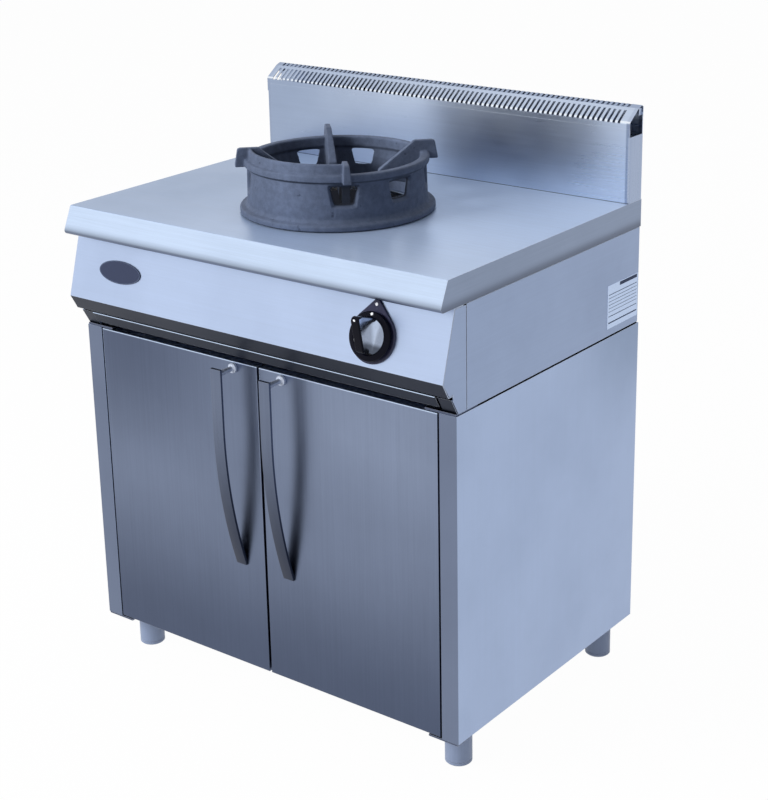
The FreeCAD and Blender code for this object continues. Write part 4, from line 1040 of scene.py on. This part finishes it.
class RANGE_OT_knob(bpy.types.Operator):
    """Build the knob, its bright dish, the plate behind it and their marks"""

    bl_idname = "wok_range.knob"
    bl_label = "Knob"

    def execute(self, context):
        sizes = context.scene.knob
        plate_dot = dot(sizes.mark * 1.1, (0.0, sizes.tip - 0.003, sizes.plate_thick))
        pieces = {}
        for name, parts, finish, smooth_angle, rider in (
                ("knob_moulding", knob_skirt(sizes) + knob_grip(sizes), "black", 40, "knob"),
                ("knob_dish", dish_half(sizes, 1) + dish_half(sizes, -1), "chrome", 30, "knob"),
                ("knob_cheeks", flank(sizes, 1) + flank(sizes, -1), "flank", 30, "knob"),
                ("knob_plate", bezel_plate(sizes), "plate", 30, "range"),
                ("knob_marks", knob_marks(sizes), "mark", 40, "knob"),
                ("plate_mark", plate_dot, "mark", 40, "range")):
            placed = moved(parts, panel_place(KNOB_CENTRE))
            pieces[name] = mesh_piece(name, placed, finish, smooth_angle)
            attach(pieces[name], rider)
        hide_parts("control_knob")
        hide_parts("knob_insert")
        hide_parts("knob_bezel")
        return {"FINISHED"}


# ---------------------------------------------------------------- handles

def handle_bar(sizes, side):
    """Bar on the door: front and back curves of height, closed by a rounded section.

    The front stands out by the bow down the straight run, then falls back on the curve to a
    blunt end; the back is the bar's thickness behind it and never passes the door.
    """
    low_corner, high_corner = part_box(side + "_handle_bar")
    top, low = high_corner.z, low_corner.z
    middle = (low_corner.x + high_corner.x) / 2
    knee = top - sizes.straight
    height = np.concatenate([np.linspace(top, knee, 12), np.linspace(knee, low, 70)[1:]])
    fall = np.clip(knee - height, 0.0, None)
    front = -sizes.bow + sizes.curve - np.sqrt(sizes.curve ** 2 - fall ** 2)
    inner = sizes.curve - sizes.thick
    back = -sizes.bow + sizes.curve - np.sqrt(inner ** 2 - fall ** 2)
    front, back = np.minimum(front, -sizes.end), np.minimum(back, 0.0)
    half, edge = sizes.width / 2, sizes.edge
    corner = np.linspace(0.0, np.pi / 2, 5)
    bend = np.column_stack([np.cos(corner), np.sin(corner)])
    rows = []
    for index, (across, along) in enumerate(((1, 1), (-1, 1), (-1, -1), (1, -1))):
        arc = bend if index % 2 == 0 else bend[::-1]
        rows.append(np.column_stack([across * (half - edge + edge * arc[:, 0]),
                                     along * arc[:, 1], np.full(len(arc), along)]))
    loop = np.concatenate(rows)
    depth = (back - front)[:, None]
    y = (front + back)[:, None] / 2 + loop[:, 2] * (depth / 2 - edge) + loop[:, 1] * edge
    x = np.broadcast_to(middle + loop[:, 0], y.shape)
    z = np.broadcast_to(height[:, None], y.shape)
    points = np.stack([x, y + DOOR_PLANE, z], axis=-1)
    return capped(points)


class RANGE_OT_handles(bpy.types.Operator):
    """Build the two bowed door handles"""

    bl_idname = "wok_range.handles"
    bl_label = "Door handles"

    def execute(self, context):
        for side in ("left", "right"):
            bar = mesh_piece(side + "_handle", handle_bar(context.scene.handle, side), "handle", 30)
            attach(bar, side + "_door")
            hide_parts(side + "_handle_bar")
        return {"FINISHED"}


# ---------------------------------------------------------------- tray lip, badge, label, painted shade line

def straight_bead(reach, depth, level, radius, count=12):
    """A round bead with flat ends, laid along X from -reach to reach."""
    sweep = circle_angles(count)
    section = np.stack([np.zeros(count), radius * np.cos(sweep), radius * np.sin(sweep)], -1)
    ends = np.array([(-reach, depth, level), (reach, depth, level)])
    return capped(ends[:, None] + section)


class RANGE_OT_tray_lip(bpy.types.Operator):
    """Roll the upper edge of the tray's front, its bright colour a painted highlight."""

    bl_idname = "wok_range.tray_lip"
    bl_label = "Tray lip"

    def execute(self, context):
        low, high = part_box("spill_tray")
        radius = 0.0012
        bead = straight_bead(high.x - 0.0005, low.y + radius / 2, high.z - radius - 0.0003, radius)
        piece = mesh_piece("tray_lip", bead, "line")
        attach(piece, "tray")
        return {"FINISHED"}


def oval_bead(across, along, section, lift):
    """A round bead of this section radius that follows an oval lying in X and Y."""
    around = circle_angles(120)
    middle = np.stack([across * np.cos(around), along * np.sin(around), np.full(120, lift)], -1)
    outward = np.stack([along * np.cos(around), across * np.sin(around), np.zeros(120)], -1)
    outward /= np.linalg.norm(outward, axis=1, keepdims=True)
    turn_round = circle_angles(10)[:, None, None]
    up = np.array([0.0, 0.0, 1.0])
    points = middle + section * (np.cos(turn_round) * outward + np.sin(turn_round) * up)
    return sheet_of(points, closed_rows=True, closed_columns=True)


class RANGE_OT_badge(bpy.types.Operator):
    """Build the raised rims of the bare oval badge"""

    bl_idname = "wok_range.badge"
    bl_label = "Badge rims"

    def execute(self, context):
        place = panel_place((BADGE_LOW + BADGE_HIGH) / 2)
        wide = (BADGE_HIGH.x - BADGE_LOW.x) / 2
        tall = (BADGE_HIGH.z - BADGE_LOW.z) / 2 / KNOB_AXIS.cross(ACROSS).z
        lift = 0.0004
        rims = [oval_bead(wide - inset, tall - inset, section, lift)
                for inset, section in ((0.0014, 0.0007), (0.0050, 0.0004))]
        piece = mesh_piece("badge_rims", moved(rims, place), "badge_rim")
        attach(piece, "range")
        return {"FINISHED"}


class RANGE_OT_label(bpy.types.Operator):
    """Build the bare rating label on the right side and its plain ruled lines"""

    bl_idname = "wok_range.label"
    bl_label = "Label"

    def execute(self, context):
        side_low, side_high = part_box("module_right_side")
        face = side_high.x
        skin, margin = face + 0.0003, 0.004
        front, rear = DOOR_PLANE + 0.444, DOOR_PLANE + 0.545
        low, high = side_low.z + 0.0125, side_low.z + 0.0894
        plate = mesh_piece("label_plate", slab((face, front, low), (skin, rear, high)), "label")
        drops = [0.0075, *(0.0175 + 0.006 * np.arange(6)), 0.0560, 0.0680]
        thick = [0.0060, 0.0012, *[0.0008] * 5, 0.0012, 0.0022]
        starts = [0.040, *[margin] * 8]
        parts = []
        for drop, height, start in zip(drops, thick, starts):
            parts += slab((skin, front + start, high - drop),
                          (face + 0.0004, rear - 0.003, high - drop + height))
        lines = mesh_piece("label_rules", parts, "rule")
        for piece in (plate, lines):
            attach(piece, "range")
        return {"FINISHED"}


class RANGE_OT_painted_shade_line(bpy.types.Operator):
    """Lay the thin dark bead where the upstand meets the worktop, a painted shade line"""

    bl_idname = "wok_range.sealant"
    bl_label = "Painted shade line"

    def execute(self, context):
        bead = straight_bead(HALF_WIDTH - 0.0005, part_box("flue_front")[0].y, WORKTOP, 0.0007)
        piece = mesh_piece("painted_shade_bead", bead, "sealant")
        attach(piece, "range")
        return {"FINISHED"}


# ---------------------------------------------------------------- stage

FLOOR_REACH = 14.0
# Each lamp: its place, the point that it lights, its width and length, and its power.
LAMPS = {"key": ((-2.3, -3.8, 2.9), (0.0, 0.0, 0.6), (2.4, 2.0), 250.0),
         "top": ((0.0, 0.3, 4.2), (0.0, 0.0, 0.0), (3.0, 3.0), 45.0)}


def camera_rays(weave):
    """1 for what the camera, a gloss or a clear part sees directly, else 0."""
    path = weave.add("ShaderNodeLightPath").outputs
    return weave.largest(path["Is Camera Ray"], path["Is Glossy Ray"], path["Is Transmission Ray"])


def floor_material(settings):
    """Pale floor, lifted towards white where it is seen, so that its shadow stays faint."""
    material, shader, weave = new_material("pale_floor")
    tone = weave.blend(weave.noise(weave.place(), 3.0, 2.0), grey(0.80), grey(0.83))
    weave.feed(shader.inputs, {"Base Color": tone, "Roughness": 0.9, "Specular IOR Level": 0.0})
    glow = weave.add("ShaderNodeEmission", {"Color": WHITE, "Strength": 1.0}).outputs[0]
    share = weave.product(camera_rays(weave), settings.floor_lift)
    mixed = weave.add("ShaderNodeMixShader", {0: share, 1: shader.outputs[0], 2: glow}).outputs[0]
    weave.feed(material.node_tree.nodes["Material Output"].inputs, {"Surface": mixed})
    return material


def pale_world(settings):
    """White where it is seen, and a plain pale light elsewhere."""
    world = bpy.data.worlds.new("studio")
    bpy.context.scene.world = world
    world.use_nodes = True
    weave = Weave(world.node_tree)
    colour = weave.blend(camera_rays(weave), settings.world, WHITE)
    background = world.node_tree.nodes["Background"]
    weave.feed(background.inputs, {"Color": colour, "Strength": 1.0})


def softbox(name, place, target, size, power):
    light = bpy.data.lights.new(name, "AREA")
    light.shape = "RECTANGLE"
    light.size, light.size_y = size
    light.energy = power
    lamp = bpy.data.objects.new(name, light)
    lamp.location = place
    direction = Vector(target) - Vector(place)
    lamp.rotation_euler = direction.to_track_quat("-Z", "Y").to_euler()
    lamp.visible_glossy = False
    bpy.context.scene.collection.objects.link(lamp)


def add_camera(settings):
    """The photograph's camera: heading, then pitch, then roll about its own axis."""
    lens = bpy.data.cameras.new("camera")
    lens.sensor_width = 36.0
    lens.lens = settings.focal
    lens.shift_x, lens.shift_y = settings.shift_across, settings.shift_up
    camera = bpy.data.objects.new("camera", lens)
    turned_to = (Matrix.Rotation(settings.heading, 4, "Z")
                 @ Matrix.Rotation(math.pi / 2 + settings.pitch, 4, "X")
                 @ Matrix.Rotation(settings.roll, 4, "Z"))
    camera.matrix_world = Matrix.Translation(settings.camera) @ turned_to
    bpy.context.scene.collection.objects.link(camera)
    bpy.context.scene.camera = camera


class RANGE_OT_stage(bpy.types.Operator):
    """Lay the floor, hang the lights and set up the camera"""

    bl_idname = "wok_range.stage"
    bl_label = "Floor, lights and camera"

    def execute(self, context):
        settings = context.scene.range_stage
        sides = (-FLOOR_REACH, FLOOR_REACH)
        corners = np.array([[(x, y, 0.0) for x in sides] for y in sides])
        floor = mesh_piece("floor", [sheet_of(corners)])
        wear(floor, floor_material(settings))
        pale_world(settings)
        for name, lamp in LAMPS.items():
            softbox(name, *lamp)
        add_camera(settings)
        context.scene.view_settings.view_transform = "Standard"
        return {"FINISHED"}


# ---------------------------------------------------------------- panel and register

class RANGE_PT_panel(bpy.types.Panel):
    """Lists the range's pieces in the sidebar"""

    bl_idname = "RANGE_PT_panel"
    bl_label = "Wok Range"
    bl_space_type = "VIEW_3D"
    bl_region_type = "UI"
    bl_category = "Wok Range"

    def draw(self, context):
        for operator in OPERATORS:
            self.layout.operator(operator.bl_idname)


OPERATORS = (RANGE_OT_finishes, RANGE_OT_wok_ring, RANGE_OT_knob, RANGE_OT_handles,
             RANGE_OT_tray_lip, RANGE_OT_badge, RANGE_OT_label, RANGE_OT_painted_shade_line, RANGE_OT_stage)
GROUPS = {"wok_ring": RingSizes, "knob": KnobSizes, "handle": HandleSizes,
          "range_colours": RangeColours, "range_stage": StageSettings}


def register():
    for group in GROUPS.values():
        bpy.utils.register_class(group)
    for name, group in GROUPS.items():
        setattr(bpy.types.Scene, name, PointerProperty(type=group))
    for cls in (*OPERATORS, RANGE_PT_panel):
        bpy.utils.register_class(cls)


def unregister():
    for cls in (RANGE_PT_panel, *reversed(OPERATORS)):
        bpy.utils.unregister_class(cls)
    for name in GROUPS:
        delattr(bpy.types.Scene, name)
    for group in reversed(tuple(GROUPS.values())):
        bpy.utils.unregister_class(group)


def main():
    register()
    bpy.ops.wok_range.finishes()
    bpy.ops.wok_range.wok_ring()
    bpy.ops.wok_range.knob()
    bpy.ops.wok_range.handles()
    bpy.ops.wok_range.tray_lip()
    bpy.ops.wok_range.badge()
    bpy.ops.wok_range.label()
    bpy.ops.wok_range.sealant()
    bpy.ops.wok_range.stage()


if __name__ == "__main__":
    main()
